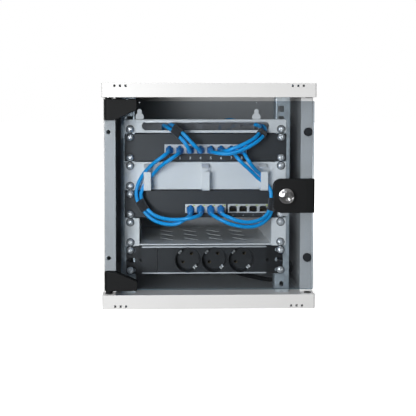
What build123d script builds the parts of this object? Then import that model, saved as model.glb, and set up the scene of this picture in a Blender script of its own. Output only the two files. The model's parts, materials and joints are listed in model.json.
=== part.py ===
"""Ten inch wall cabinet, six units high, with a glass door and fitted network equipment.

Frame: origin at the centre of the base, front towards -Y, +Z up, millimetres.
"""
from build123d import *
import os
from math import atan2, cos, degrees, pi, radians, tan

os.makedirs("parts", exist_ok=True)

# Case
WIDTH = 312.0
DEPTH = 300.0
HEIGHT = 330.0
SHEET = 1.2
PLATE = 1.5
COVER = 20.4
CORNER = 2.5
UPRIGHT_SETBACK = 18.0
UPRIGHT_EDGE = 137.0
SIDE_FLANGE = 6.4
FRONT = -DEPTH / 2
BACK = DEPTH / 2
MIDDLE = HEIGHT / 2
SIDE_IN = WIDTH / 2 - 2 * SHEET
SIDE_OUT = WIDTH / 2 - SHEET
SIDE_BACK = DEPTH / 2 - 2 * SHEET - 0.1
UPRIGHT_FRONT = FRONT + UPRIGHT_SETBACK
UPRIGHT_BACK = UPRIGHT_FRONT + SHEET
NOTCH_X = (121.0, 129.0, 137.0)
NOTCH = (3.0, 3.5)
BUFFER_X = 147.4
BUFFER_Z = (MIDDLE - 93.5, MIDDLE + 93.5)
BUFFER_HOLE = 3.1
KEYHOLE_X = 110.0
KEYHOLE_Z = (61.0, 285.6)
KEYHOLE_DROP = 11.1
KEYHOLE_NECK = 4.2
KEYHOLE_ENTRY = 8.0
FIXING_HOLE = 1.1

# Rack
UNIT = 44.45
UNIT_BASE = 31.65
HOLE_OFFSETS = (6.35, 22.225, 38.1)
SCREW_OFFSETS = (6.35, 38.1)
SCREW_X = 118.26
PANEL_WIDTH = 254.0
PANEL_GAP = 0.5
PANEL_FRONT = FRONT + 80.0
PANEL_BACK = PANEL_FRONT + PLATE
RAIL_IN = 110.0
RAIL_OUT = 133.0
RAIL_DEPTH = 20.0
RAIL_BACK = PANEL_BACK + RAIL_DEPTH
SQUARE_HOLE = 9.5
STUD = (121.5, -55.0)
STUD_R = 2.5
STUD_HEIGHT = 9.0

# Door
GLASS_X = (-152.3, 154.4)
GLASS_Z = (26.0, 304.0)
GLASS_FRONT = FRONT + 8.0
GLASS_BACK = FRONT + 13.0
PIVOT_X = -147.0
PIVOT_Y = FRONT + 11.0
PIVOT_HOLE = 5.0
PIN_R = 3.0
BUSH_BORE = 3.06
BARREL_R = 6.2
FITTING_PLATE = 3.2
LOCK_X = 113.6
LOCK_PLATE_X = (95.4, 155.8)
LOCK_PLATE_Z = (140.0, 189.6)
LOCK_BARREL_R = 9.5
LOCK_CORE_R = 5.95
CAM_FRONT = UPRIGHT_BACK + 0.6
CAM_LENGTH = 32.0

# Ports and cords
PATCH_PITCH = 16.13
PATCH_PORT_Z = 227.3
SWITCH_PITCH = 15.9
SWITCH_BLOCKS = (0.05, 67.15)
SWITCH_PORT_Z = 133.8
CORD_D = 5.8
BOOT_TIP = PANEL_FRONT - 18.0
LEAD_D = 7.0
COIL_CENTRE = (8.0, 98.0)
COIL_R = 41.0
COIL_HEIGHT = 21.4


def unit_z(number):
    """Bottom of a rack unit, counted from one at the bottom."""
    return UNIT_BASE + UNIT * (number - 1)


def block(x0, x1, y0, y1, z0, z1):
    """Box between two corners."""
    centre = Pos((x0 + x1) / 2, (y0 + y1) / 2, (z0 + z1) / 2)
    return centre * Box(x1 - x0, y1 - y0, z1 - z0)


def rod_y(radius, x, z, y0, y1):
    """Cylinder along Y."""
    return Pos(x, (y0 + y1) / 2, z) * Rot(90, 0, 0) * Cylinder(radius, y1 - y0)


def rod_z(radius, x, y, z0, z1):
    """Upright cylinder."""
    return Pos(x, y, (z0 + z1) / 2) * Cylinder(radius, z1 - z0)


def slab_y(sketch, y0, y1):
    """A sketch drawn in X and Z, made solid from y0 to y1."""
    plane = Plane((0, y1, 0), x_dir=(1, 0, 0), z_dir=(0, -1, 0))
    return extrude(plane * sketch, y1 - y0)


def slab_z(sketch, z0, z1):
    """A sketch drawn in X and Y, made solid from z0 to z1."""
    return extrude(Pos(0, 0, z0) * sketch, z1 - z0)


def outline(points):
    """Closed face through a list of corners."""
    return make_face(Polyline(*points, close=True))


def flip_x(shape):
    return mirror(shape, about=Plane.YZ)


def flip_z(shape):
    return mirror(shape, about=Plane.XY.offset(MIDDLE))


def save(shape, node):
    """Write one node; a list becomes a group of separate solids."""
    if isinstance(shape, list):
        shape = Compound(children=shape)
    shape.label = node
    export_step(shape, f"parts/{node}.step")


# ---------------------------------------------------------------- case


def bottom_cover():
    """Folded pan with vent notches, corner plates for the door pivots and studs for the rails."""
    outer = slab_z(RectangleRounded(WIDTH, DEPTH, CORNER), 0, COVER)
    inner_size = (WIDTH - 2 * SHEET, DEPTH - 2 * SHEET)
    inner = slab_z(RectangleRounded(*inner_size, CORNER - SHEET), PLATE, COVER + 1)
    pan = outer - inner
    for side in (-1, 1):
        x_edge = (side * UPRIGHT_EDGE, side * (WIDTH / 2 - SHEET))
        pan += block(min(x_edge), max(x_edge), FRONT + SHEET, UPRIGHT_FRONT, COVER - SHEET, COVER)
        pan -= rod_z(PIVOT_HOLE, side * abs(PIVOT_X), PIVOT_Y, COVER - 3, COVER + 1)
        pan += rod_z(STUD_R, side * STUD[0], STUD[1], PLATE, PLATE + STUD_HEIGHT)
        for x in NOTCH_X:
            notch_x = side * x
            pan -= block(
                notch_x - NOTCH[0] / 2, notch_x + NOTCH[0] / 2, FRONT - 1, FRONT + 2, 2.2, 2.2 + NOTCH[1]
            )
    return pan


def side_panel():
    """Left side: one sheet with the folded front upright and inward flanges at floor and roof."""
    profile = outline([(-SIDE_OUT, UPRIGHT_FRONT), (-UPRIGHT_EDGE, UPRIGHT_FRONT),
                       (-UPRIGHT_EDGE, UPRIGHT_BACK), (-SIDE_IN, UPRIGHT_BACK),
                       (-SIDE_IN, SIDE_BACK), (-SIDE_OUT, SIDE_BACK)])
    profile = fillet(profile.vertices().group_by(Axis.X)[0].sort_by(Axis.Y)[0], 1.8)
    panel = slab_z(profile, PLATE, HEIGHT - PLATE)
    for z in (PLATE, HEIGHT - PLATE - SHEET):
        panel += block(-SIDE_IN, -SIDE_IN + SIDE_FLANGE, UPRIGHT_BACK, SIDE_BACK, z, z + SHEET)
    for z in BUFFER_Z:
        panel -= rod_y(BUFFER_HOLE, -BUFFER_X, z, UPRIGHT_FRONT - 1, UPRIGHT_BACK + 1)
    side_hole = Pos(-SIDE_IN, FRONT + 108, 26.5) * Rot(0, 90, 0) * Cylinder(2.5, 8)
    return panel - side_hole


def back_panel():
    """Rear sheet with four keyholes and two small fixing holes."""
    sheet = block(-SIDE_IN, SIDE_IN, BACK - 2 * SHEET, BACK - SHEET, PLATE, HEIGHT - PLATE)
    for x in (-KEYHOLE_X, KEYHOLE_X):
        for z in KEYHOLE_Z:
            sheet -= rod_y(KEYHOLE_NECK, x, z, BACK - 4, BACK + 1)
            sheet -= rod_y(KEYHOLE_ENTRY, x, z - KEYHOLE_DROP, BACK - 4, BACK + 1)
            half = KEYHOLE_NECK - 0.1
            sheet -= block(x - half, x + half, BACK - 4, BACK + 1, z - KEYHOLE_DROP, z)
        sheet -= rod_y(FIXING_HOLE, x, 302.0, BACK - 4, BACK + 1)
    return sheet


def mounting_rail():
    """Left rail: a C section with square holes on the rack pattern and a foot at each end."""
    low, high = PLATE, HEIGHT - PLATE
    rail = block(-RAIL_OUT, -RAIL_IN, PANEL_BACK, RAIL_BACK, low, high)
    rail = fillet(rail.edges().filter_by(Axis.Z).group_by(Axis.Y)[0], 1.3)
    rail -= block(-RAIL_OUT + PLATE, -RAIL_IN - PLATE, PANEL_BACK + PLATE, RAIL_BACK + 1, low - 1, high + 1)
    for z in (low, high - PLATE):
        rail += block(-RAIL_OUT + PLATE, -RAIL_IN - PLATE, PANEL_BACK + PLATE, RAIL_BACK, z, z + PLATE)
    half = SQUARE_HOLE / 2
    for unit in range(1, 7):
        for offset in HOLE_OFFSETS:
            z = unit_z(unit) + offset
            rail -= block(-SCREW_X - half, -SCREW_X + half, PANEL_BACK - 1, PANEL_BACK + PLATE + 1,
                          z - half, z + half)
    for z in (14.4, HEIGHT - 14.4):
        slot = Pos(-120.8, z) * Rot(0, 0, 90) * SlotOverall(9.0, 6.0)
        rail -= slab_y(slot, PANEL_BACK - 1, PANEL_BACK + PLATE + 1)
    rail -= rod_z(STUD_R + 0.4, -STUD[0], STUD[1], low - 1, low + PLATE + 1)
    rail -= rod_z(STUD_R + 0.4, -STUD[0], STUD[1], high - PLATE - 1, high + 1)
    return rail


def rail_nuts():
    """Hexagon nuts that hold the rails' feet on the covers' studs."""
    nuts = []
    for x in (-STUD[0], STUD[0]):
        hexagon = Pos(x, STUD[1]) * (RegularPolygon(4.0, 6, major_radius=False) - Circle(STUD_R + 0.03))
        nut = slab_z(hexagon, 2 * PLATE, 2 * PLATE + 4.0)
        nuts += [nut, flip_z(nut)]
    return nuts


def pivot_bushes():
    """Flanged bushes in the four pivot holes: two for the door, two spare for hanging it on the right."""
    bush = rod_z(PIVOT_HOLE - 0.03, PIVOT_X, PIVOT_Y, COVER - SHEET - 1, COVER)
    bush += rod_z(5.5, PIVOT_X, PIVOT_Y, COVER, COVER + 0.8)
    bush -= rod_z(BUSH_BORE, PIVOT_X, PIVOT_Y, COVER - 4, COVER + 2)
    pair = [bush, flip_z(bush)]
    return pair + [flip_x(one) for one in pair]


def door_buffers():
    """Rubber stops pushed into the right upright, just behind the glass."""
    buffers = []
    for z in BUFFER_Z:
        head = rod_y(6.4, BUFFER_X, z, GLASS_BACK + 0.4, UPRIGHT_FRONT)
        head = fillet(head.edges().sort_by(Axis.Y)[0], 1.5)
        buffers.append(head + rod_y(BUFFER_HOLE - 0.05, BUFFER_X, z, UPRIGHT_FRONT, UPRIGHT_BACK + 3))
    return buffers


# ---------------------------------------------------------------- rack panels


def screw_positions():
    """Every screw place: two per side in units one to five, one per side in the brush panel."""
    heights = [unit_z(unit) + offset for unit in range(1, 6) for offset in SCREW_OFFSETS]
    heights.append(unit_z(6) + HOLE_OFFSETS[0])
    return [(side * SCREW_X, z) for side in (-1, 1) for z in heights]


def ear_slots(panel, z_low, z_high, wide=10.0):
    """Cut the screw slots that lie between two heights."""
    for x, z in screw_positions():
        if z_low < z < z_high:
            panel -= slab_y(Pos(x, z) * SlotOverall(wide, 6.8), PANEL_FRONT - 1, PANEL_BACK + 1)
    return panel


def rack_panel(z_low, z_high, return_depth, inner=107.0):
    """Front plate with rounded corners and folded edges between the rails."""
    height = z_high - z_low
    face = Pos(0, (z_low + z_high) / 2) * RectangleRounded(PANEL_WIDTH, height, 1.5)
    panel = slab_y(face, PANEL_FRONT, PANEL_BACK)
    for z in (z_low, z_high - SHEET):
        panel += block(-inner, inner, PANEL_BACK, PANEL_BACK + return_depth, z, z + SHEET)
    panel = fillet(panel.faces().sort_by(Axis.Y)[0].edges().filter_by(Axis.X), 1.1)
    return ear_slots(panel, z_low, z_high)


BRUSH_LOW = unit_z(6) + PANEL_GAP
BRUSH_HIGH = unit_z(6) + UNIT / 2 - PANEL_GAP
BRUSH_SLOT = (199.0, 13.6, 265.4)
BRISTLE_Y = (-63.8, -62.2)
HOLDER_Z = (270.7, BRUSH_HIGH - SHEET)


def brush_panel():
    panel = rack_panel(BRUSH_LOW, BRUSH_HIGH, 10.0)
    length, height, z = BRUSH_SLOT
    return panel - slab_y(Pos(0, z) * SlotOverall(length, height), PANEL_FRONT - 1, PANEL_BACK + 1)


def brush_holder():
    """Aluminium channel that grips the bristles."""
    holder = block(-104, 104, BRISTLE_Y[0] - 2.2, BRISTLE_Y[1] + 2.2, *HOLDER_Z)
    return holder - block(-105, 105, *BRISTLE_Y, HOLDER_Z[0] - 1, HOLDER_Z[0] + 2)


def brush_bristles():
    return block(-103, 103, *BRISTLE_Y, BRUSH_LOW + SHEET + 0.2, HOLDER_Z[0] + 2)


def patch_ports():
    """Port centres of the patch panel, one to eight from the left."""
    return [(port - 4.5) * PATCH_PITCH for port in range(1, 9)]


def switch_ports():
    """Port centres of the switch, one to eight from the left."""
    return [centre + (port - 1.5) * SWITCH_PITCH for centre in SWITCH_BLOCKS for port in range(4)]


def jack_cavity(x, z, y0, y1):
    """Socket opening with its latch notch upwards, centred on the plug's body."""
    wide, low, high = 6.0, -3.5, 3.5
    shape = outline([(x - wide, z + low), (x + wide, z + low), (x + wide, z + high),
                     (x + 3.2, z + high + 2.8), (x - 3.2, z + high + 2.8), (x - wide, z + high)])
    return slab_y(shape, y0, y1)


JACK_Z = (222.0, 236.4)
JACK_BACK = -45.0


def patch_panel():
    panel = rack_panel(unit_z(5) + PANEL_GAP, unit_z(6) - PANEL_GAP, 25.0)
    return panel - block(-64.7, 64.7, PANEL_FRONT - 1, PANEL_BACK + 1, *JACK_Z)


def patch_jacks():
    """Eight white jacks side by side."""
    jacks = []
    for x in patch_ports():
        jack = block(x - 8.0, x + 8.0, PANEL_FRONT - 0.4, JACK_BACK, *JACK_Z)
        jacks.append(jack - jack_cavity(x, PATCH_PORT_Z, PANEL_FRONT - 1, PANEL_FRONT + 14))
    return jacks


def patch_board():
    return block(-68, 68, JACK_BACK, JACK_BACK + 1.6, 214, 246)


def patch_terminals():
    """Wire terminals behind the board, one block per port, each with two wire rows."""
    blocks = []
    y0 = JACK_BACK + 1.6
    for x in patch_ports():
        terminal = block(x - 7.2, x + 7.2, y0, y0 + 12, 219, 241)
        for row in (-1, 1):
            for slot in range(4):
                slot_x = x - 4.8 + slot * 3.2
                slot_z = 230 + row * 8
                terminal -= block(slot_x - 0.5, slot_x + 0.5, y0 + 6, y0 + 13, slot_z - 3.2, slot_z + 3.2)
        blocks.append(terminal)
    return blocks


MANAGER_LOW = unit_z(4) + PANEL_GAP
MANAGER_HIGH = unit_z(5) - PANEL_GAP
RING_X = (-91.0, -1.0, 89.0)
RING_WIDTH = 11.0
RING_REACH = 25.0


def cable_rings():
    """Strap rings on the cable manager, open by a cord's width at the upper front."""
    front = PANEL_FRONT - RING_REACH
    strap = PLATE
    rings = []
    for x in RING_X:
        corners = [(front + 11.5, 200.5), (PANEL_FRONT - strap / 2, MANAGER_HIGH - 1.5),
                   (PANEL_FRONT - strap / 2, MANAGER_LOW + 1.5), (front + strap / 2, MANAGER_LOW + 1.5),
                   (front + strap / 2, 195.6)]
        path = FilletPolyline(*[(x, y, z) for y, z in corners], radius=2.5)
        section = Plane(path @ 0, x_dir=(1, 0, 0), z_dir=path % 0) * Rectangle(RING_WIDTH, strap)
        rings.append(sweep(section, path=path))
    return rings


# ---------------------------------------------------------------- switch

SWITCH_LOW = unit_z(3) + PANEL_GAP
SWITCH_HIGH = unit_z(4) - PANEL_GAP
SWITCH_TOP = SWITCH_HIGH - 1.0
SWITCH_BACK = 40.0
SWITCH_JACK_Z = (128.5, 142.4)


def switch_front():
    """Front with ears, and one window for each block of four ports."""
    panel = rack_panel(SWITCH_LOW, SWITCH_HIGH, 6.0, inner=103.0)
    for centre in SWITCH_BLOCKS:
        panel -= block(centre - 31.9, centre + 31.9, PANEL_FRONT - 1, PANEL_BACK + 1, *SWITCH_JACK_Z)
    return panel


def switch_case():
    """Steel case, open at the front, with a row of vents in each side and a supply inlet."""
    top, low = SWITCH_TOP - 0.6, SWITCH_LOW + SHEET + 0.4
    case = block(-104, 104, PANEL_BACK, SWITCH_BACK, low, top)
    case -= block(-103, 103, PANEL_BACK - 1, SWITCH_BACK - 1, low + 1, top - 1)
    for step in range(9):
        y = -48 + step * 9
        case -= block(-106, 106, y - 1.5, y + 1.5, 136, 156)
    return case - rod_y(4.0, -80, 142, SWITCH_BACK - 2, SWITCH_BACK + 1)


def switch_jacks():
    """Two shielded blocks of four sockets."""
    blocks = []
    ports = switch_ports()
    for index, centre in enumerate(SWITCH_BLOCKS):
        shield = block(centre - 31.8, centre + 31.8, PANEL_FRONT - 0.6, -48, *SWITCH_JACK_Z)
        for x in ports[4 * index:4 * index + 4]:
            shield -= jack_cavity(x, SWITCH_PORT_Z, PANEL_FRONT - 1, PANEL_FRONT + 14)
        blocks.append(shield)
    return blocks


def switch_board():
    return block(-96, 100, -62, 34, 126.9, 128.5)


# ---------------------------------------------------------------- shelf

SHELF_FLOOR = 78.4
SHELF_BACK = 80.0


def vented_shelf():
    """Tray with ears, a hemmed front edge, tapering sides and diagonal vents."""
    low, high = unit_z(2) + PANEL_GAP, unit_z(3) - PANEL_GAP
    side = 104.0
    ear_shape = Pos((side + PANEL_WIDTH / 2) / 2, (low + high) / 2) * RectangleRounded(
        PANEL_WIDTH / 2 - side, high - low, 1.5)
    ear = slab_y(ear_shape, PANEL_FRONT, PANEL_BACK)
    wall_shape = outline([(PANEL_BACK, low + 1), (SHELF_BACK, low + 1), (SHELF_BACK, SHELF_FLOOR + 10),
                          (SHELF_BACK - 60, SHELF_FLOOR + 14), (PANEL_BACK, high)])
    wall = extrude(Plane.YZ.offset(side) * wall_shape, SHEET)
    shelf = block(-side, side, PANEL_FRONT + 1, SHELF_BACK, SHELF_FLOOR - SHEET, SHELF_FLOOR)
    hem = Pos(0, PANEL_FRONT + 1.1, SHELF_FLOOR + 0.1) * Rot(0, 90, 0) * Cylinder(1.1, 2 * side)
    shelf += hem
    shelf += ear + wall + block(side, side + SHEET, PANEL_FRONT, PANEL_BACK, low + 1, high)
    shelf += flip_x(ear + wall + block(side, side + SHEET, PANEL_FRONT, PANEL_BACK, low + 1, high))
    for column in range(4):
        for row in range(3):
            x = -61.0 + 40.0 * column
            y = -25.0 + 35.0 * row
            vent = Pos(x, y) * Rot(0, 0, -40) * SlotOverall(27.0, 4.5)
            shelf -= slab_z(vent, SHELF_FLOOR - 3, SHELF_FLOOR + 1)
    return ear_slots(shelf, low, high)


# ---------------------------------------------------------------- socket strip

PDU_X = (-100.0, 96.2)
PDU_Z = (unit_z(1) + PANEL_GAP, unit_z(2) - PANEL_GAP)
PDU_BACK = -26.0
PDU_WALL = 2.0
SOCKET_SIZE = 42.2
SOCKET_X = (-28.1, 14.1, 56.3)
SOCKET_Z = (PDU_Z[0] + PDU_Z[1]) / 2
SOCKET_R = 19.3
SOCKET_FLOOR = PANEL_FRONT + 17.0
INSERT_BACK = -32.0
GLAND_Y = -37.0
GLAND_Z = 50.0


def pdu_profile():
    """Aluminium channel, open at the front, with a narrow lip above and below the inserts."""
    low, high = PDU_Z
    shell = block(*PDU_X, PANEL_FRONT - 0.5, PDU_BACK, low, high)
    return shell - block(PDU_X[0] - 1, PDU_X[1] + 1, PANEL_FRONT - 2, PDU_BACK - PDU_WALL,
                         low + PDU_WALL, high - PDU_WALL)


def insert_block(x0, x1):
    return block(x0, x1, PANEL_FRONT, INSERT_BACK, PDU_Z[0] + PDU_WALL, PDU_Z[1] - PDU_WALL)


def pdu_socket(x):
    """Earthed socket insert: round recess with two contact holes turned by 45 degrees."""
    half = SOCKET_SIZE / 2
    insert = insert_block(x - half + 0.05, x + half - 0.05)
    insert -= rod_y(SOCKET_R, x, SOCKET_Z, PANEL_FRONT - 1, SOCKET_FLOOR)
    for side in (-1, 1):
        offset = side * 9.5 * cos(pi / 4)
        insert -= rod_y(2.8, x + offset, SOCKET_Z + offset, SOCKET_FLOOR - 1, SOCKET_FLOOR + 14)
    return insert


def pdu_blank_inserts():
    """Plain inserts left and right of the sockets, with a fine groove between the two on the left."""
    edge = SOCKET_X[0] - SOCKET_SIZE / 2
    last = SOCKET_X[2] + SOCKET_SIZE / 2
    return [insert_block(PDU_X[0], -75.7), insert_block(-75.3, edge - 0.1), insert_block(last, PDU_X[1])]


def pdu_earth_clips():
    """Two spring clips in each recess, upper left and lower right."""
    clips = []
    for x in SOCKET_X:
        for side in (-1, 1):
            clip = Pos(side * 17.6, (SOCKET_FLOOR + PANEL_FRONT + 2) / 2, 0)
            clip *= Box(1.2, SOCKET_FLOOR - PANEL_FRONT - 2, 5.0)
            nose = Pos(side * 16.4, PANEL_FRONT + 5, 0) * Rot(0, 0, 0) * Box(1.6, 4.0, 5.0)
            clips.append(Pos(x, 0, SOCKET_Z) * Rot(0, 45, 0) * (clip + nose))
    return clips


def pdu_bracket(inner, outer, side):
    """Ear bracket: plate on the rail and a leg on the end of the profile."""
    low, high = PDU_Z
    plate = outline([(inner, low), (outer - side * 2, low), (outer, low + 2), (outer, high - 2),
                     (outer - side * 2, high), (inner, high)])
    bracket = slab_y(plate, PANEL_FRONT, PANEL_BACK)
    leg = sorted((inner, inner + side * PLATE))
    bracket += block(*leg, PANEL_FRONT, PDU_BACK, low, high)
    for offset in (-15.9, 0.0, 15.9):
        slot = Pos(side * SCREW_X - side * 2.0, SOCKET_Z + offset) * SlotOverall(13.0, 6.6)
        bracket -= slab_y(slot, PANEL_FRONT - 1, PANEL_BACK + 1)
    return bracket - rod_y(2.2, inner + side * 1.6, SOCKET_Z, PANEL_FRONT - 1, PANEL_FRONT + 6)


def strain_relief():
    """Tapered relief where the mains lead leaves the end of the strip."""
    start = PDU_X[1] + PLATE
    plane = Plane((start, GLAND_Y, GLAND_Z), x_dir=(0, 1, 0), z_dir=(1, 0, 0))
    collar = extrude(plane * Circle(6.4), 4.0)
    neck = loft([plane.offset(4.0) * Circle(5.4), plane.offset(20.0) * Circle(4.3)])
    return collar + neck


# ---------------------------------------------------------------- rack fasteners


def rack_screws():
    """Pan head screws with a cross recess."""
    screws = []
    head_base = PANEL_FRONT - 1.3
    profile = make_face([
        Line((0, 0), (5.5, 0)), Line((5.5, 0), (5.5, 1.1)),
        ThreePointArc((5.5, 1.1), (3.6, 2.9), (0, 3.6)), Line((0, 3.6), (0, 0))])
    head = revolve(Plane.XZ * profile, Axis.Z)
    for turn in (0, 90):
        head -= Pos(0, 0, 3.3) * Rot(0, 0, turn) * Box(5.9, 1.15, 3.2)
    for number, (x, z) in enumerate(screw_positions()):
        turned = Pos(x, head_base, z) * Rot(90, 0, 0) * Rot(0, 0, 17 * number) * head
        screws.append(turned + rod_y(3.0, x, z, head_base, PANEL_BACK + 14))
    return screws


def cup_washers():
    washers = []
    corners = [(3.2, 0), (6.3, 0), (6.3, 2.3), (5.8, 2.4), (5.6, 1.3), (3.2, 1.3)]
    washer = revolve(Plane.XZ * make_face(Polyline(*corners, close=True)), Axis.Z)
    for x, z in screw_positions():
        washers.append(Pos(x, PANEL_FRONT, z) * Rot(90, 0, 0) * washer)
    return washers


def cage_nuts():
    nuts = []
    half = SQUARE_HOLE / 2 - 0.1
    for x, z in screw_positions():
        nut = block(x - half, x + half, PANEL_BACK, PANEL_BACK + PLATE, z - half, z + half)
        nut += block(x - 6.1, x + 6.1, PANEL_BACK + PLATE, PANEL_BACK + PLATE + 5.6, z - 5.4, z + 5.4)
        nuts.append(nut - rod_y(3.05, x, z, PANEL_BACK - 1, PANEL_BACK + 12))
    return nuts


# ---------------------------------------------------------------- door


def glass_sheet():
    size = (GLASS_X[1] - GLASS_X[0], GLASS_Z[1] - GLASS_Z[0])
    face = Pos(sum(GLASS_X) / 2, sum(GLASS_Z) / 2) * RectangleRounded(*size, 1.5)
    return slab_y(face, GLASS_FRONT, GLASS_BACK)


def door_glass():
    return glass_sheet() - rod_y(LOCK_BARREL_R + 0.1, LOCK_X, MIDDLE, GLASS_FRONT - 1, GLASS_BACK + 1)


def hinge_fitting(corners, foot):
    """Moulded clamp round a corner of the glass, with the pivot barrel at its end.

    corners run round the plate in X and Z; foot is the height range of the barrel.
    """
    shape = outline(corners)
    shape = fillet(shape.vertices().sort_by(Axis.X)[-2:], 3.0)
    body = slab_y(shape, GLASS_FRONT - FITTING_PLATE, GLASS_BACK + FITTING_PLATE)
    rim = body.edges().filter_by(Plane.XZ).group_by(Axis.Y)[0]
    body = chamfer(rim.sort_by(Axis.X)[1:], 0.8)
    low = min(z for _, z in corners)
    high = max(z for _, z in corners)
    body += rod_z(BARREL_R, PIVOT_X, PIVOT_Y, low, high)
    body += rod_z(4.6, PIVOT_X, PIVOT_Y, *foot)
    body -= rod_z(PIN_R, PIVOT_X, PIVOT_Y, *foot)
    body -= glass_sheet()
    for x in (-133.0, -115.0):
        z = (low + high) / 2 + (4 if low > MIDDLE else -4)
        body -= rod_y(2.6, x, z, GLASS_BACK, GLASS_BACK + FITTING_PLATE + 1)
    return body


FITTING_LOW = (25.3, 52.9)
FITTING_HIGH = (276.0, 307.0)
FOOT_LOW = (COVER + 1.0, 25.5)
FOOT_HIGH = (304.4, HEIGHT - COVER - 1.0)


def lower_hinge_fitting():
    low, high = FITTING_LOW
    corners = [(PIVOT_X, low), (-105.0, low), (-105.0, 38.9), (-137.0, high), (PIVOT_X, high)]
    return hinge_fitting(corners, FOOT_LOW)


def upper_hinge_fitting():
    low, high = FITTING_HIGH
    corners = [(PIVOT_X, low), (-138.0, low), (-105.0, 291.4), (-105.0, high), (PIVOT_X, high)]
    return hinge_fitting(corners, FOOT_HIGH)


def hinge_pins():
    lower = rod_z(PIN_R, PIVOT_X, PIVOT_Y, 10.0, 25.5)
    upper = rod_z(PIN_R, PIVOT_X, PIVOT_Y, 304.4, 320.0)
    return [chamfer(lower.edges().sort_by(Axis.Z)[0], 0.6), chamfer(upper.edges().sort_by(Axis.Z)[-1], 0.6)]


def lock_plate():
    """Plate wrapped round the free edge of the glass, with rounded inner corners."""
    x0, x1 = LOCK_PLATE_X
    front, back = GLASS_FRONT - 3.0, GLASS_BACK + 3.0
    rounded = [(143.0, front), (152.0, front + 0.7), (x1, front + 2.6)]
    plan = outline([(x0, front), *rounded, (x1, back), (x0, back)])
    face = Pos((x0 + x1) / 2, sum(LOCK_PLATE_Z) / 2) * Rectangle(x1 - x0, LOCK_PLATE_Z[1] - LOCK_PLATE_Z[0])
    face = fillet(face.vertices().sort_by(Axis.X)[:2], 11.0)
    plate = slab_z(plan, *LOCK_PLATE_Z) & slab_y(face, front - 1, back + 1)
    plate -= block(x0 - 1, GLASS_X[1], GLASS_FRONT, GLASS_BACK, LOCK_PLATE_Z[0] - 1, LOCK_PLATE_Z[1] + 1)
    return plate - rod_y(LOCK_BARREL_R + 0.1, LOCK_X, MIDDLE, front - 1, back + 1)


LOCK_FACE = GLASS_FRONT - 3.0
HOUSING_FRONT = FRONT - 8.0
HOUSING_BACK = CAM_FRONT - 0.2


def lock_housing():
    """Chromed barrel with a stepped ring at its root and a groove between its rim and the core."""
    housing = rod_y(LOCK_BARREL_R, LOCK_X, MIDDLE, HOUSING_FRONT, HOUSING_BACK)
    housing = fillet(housing.edges().sort_by(Axis.Y)[0], 1.0)
    ring = rod_y(11.2, LOCK_X, MIDDLE, LOCK_FACE - 2.4, LOCK_FACE)
    housing += fillet(ring.edges().sort_by(Axis.Y)[0], 1.4)
    housing -= rod_y(8.1, LOCK_X, MIDDLE, HOUSING_FRONT - 1, HOUSING_FRONT + 1.2)
    collar = rod_y(7.2, LOCK_X, MIDDLE, HOUSING_FRONT + 0.1, HOUSING_FRONT + 1.2)
    housing += fillet(collar.edges().sort_by(Axis.Y)[0], 0.5)
    return housing - rod_y(LOCK_CORE_R + 0.05, LOCK_X, MIDDLE, HOUSING_FRONT - 1, HOUSING_BACK + 1)


def lock_nut():
    hexagon = Pos(LOCK_X, MIDDLE) * (RegularPolygon(12.0, 6, major_radius=False) - Circle(LOCK_BARREL_R + 0.03))
    return slab_y(hexagon, GLASS_BACK + 3.0, HOUSING_BACK - 0.2)


SQUARE = 7.0


def lock_cylinder():
    """Turning core: a dished face with a key slot in front and a square for the cam behind."""
    core = rod_y(LOCK_CORE_R, LOCK_X, MIDDLE, HOUSING_FRONT + 0.2, HOUSING_BACK)
    dish = Pos(LOCK_X, HOUSING_FRONT + 1.2, MIDDLE) * Rot(90, 0, 0) * Cone(0.8, 5.4, 2.2)
    core -= dish
    core -= block(LOCK_X - 0.7, LOCK_X + 0.7, HOUSING_FRONT, HOUSING_FRONT + 16, MIDDLE - 4.2, MIDDLE + 4.2)
    half = SQUARE / 2
    square = block(LOCK_X - half, LOCK_X + half, HOUSING_BACK, CAM_FRONT + 2.4, MIDDLE - half, MIDDLE + half)
    return core + square


def lock_cam():
    """Flat cam, hanging down when the door is unlocked."""
    width, tip = 15.0, 10.0
    tip_z = MIDDLE - CAM_LENGTH
    shape = outline([(LOCK_X - width / 2, MIDDLE), (LOCK_X - tip / 2, tip_z), (LOCK_X + tip / 2, tip_z),
                     (LOCK_X + width / 2, MIDDLE)])
    shape = fillet(shape.vertices().sort_by(Axis.Y)[:2], 2.5)
    shape += Pos(LOCK_X, MIDDLE) * Circle(width / 2)
    shape -= Pos(LOCK_X, MIDDLE) * Rectangle(SQUARE, SQUARE)
    return slab_y(shape, CAM_FRONT, CAM_FRONT + 2.0)


def cam_screw():
    base = CAM_FRONT + 2.4
    head = rod_y(5.2, LOCK_X, MIDDLE, base, base + 2.6)
    head = fillet(head.edges().sort_by(Axis.Y)[-1], 1.2)
    return head - block(LOCK_X - 0.5, LOCK_X + 0.5, base + 1.4, base + 4, MIDDLE - 4, MIDDLE + 4)


# ---------------------------------------------------------------- cords and plugs

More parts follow.
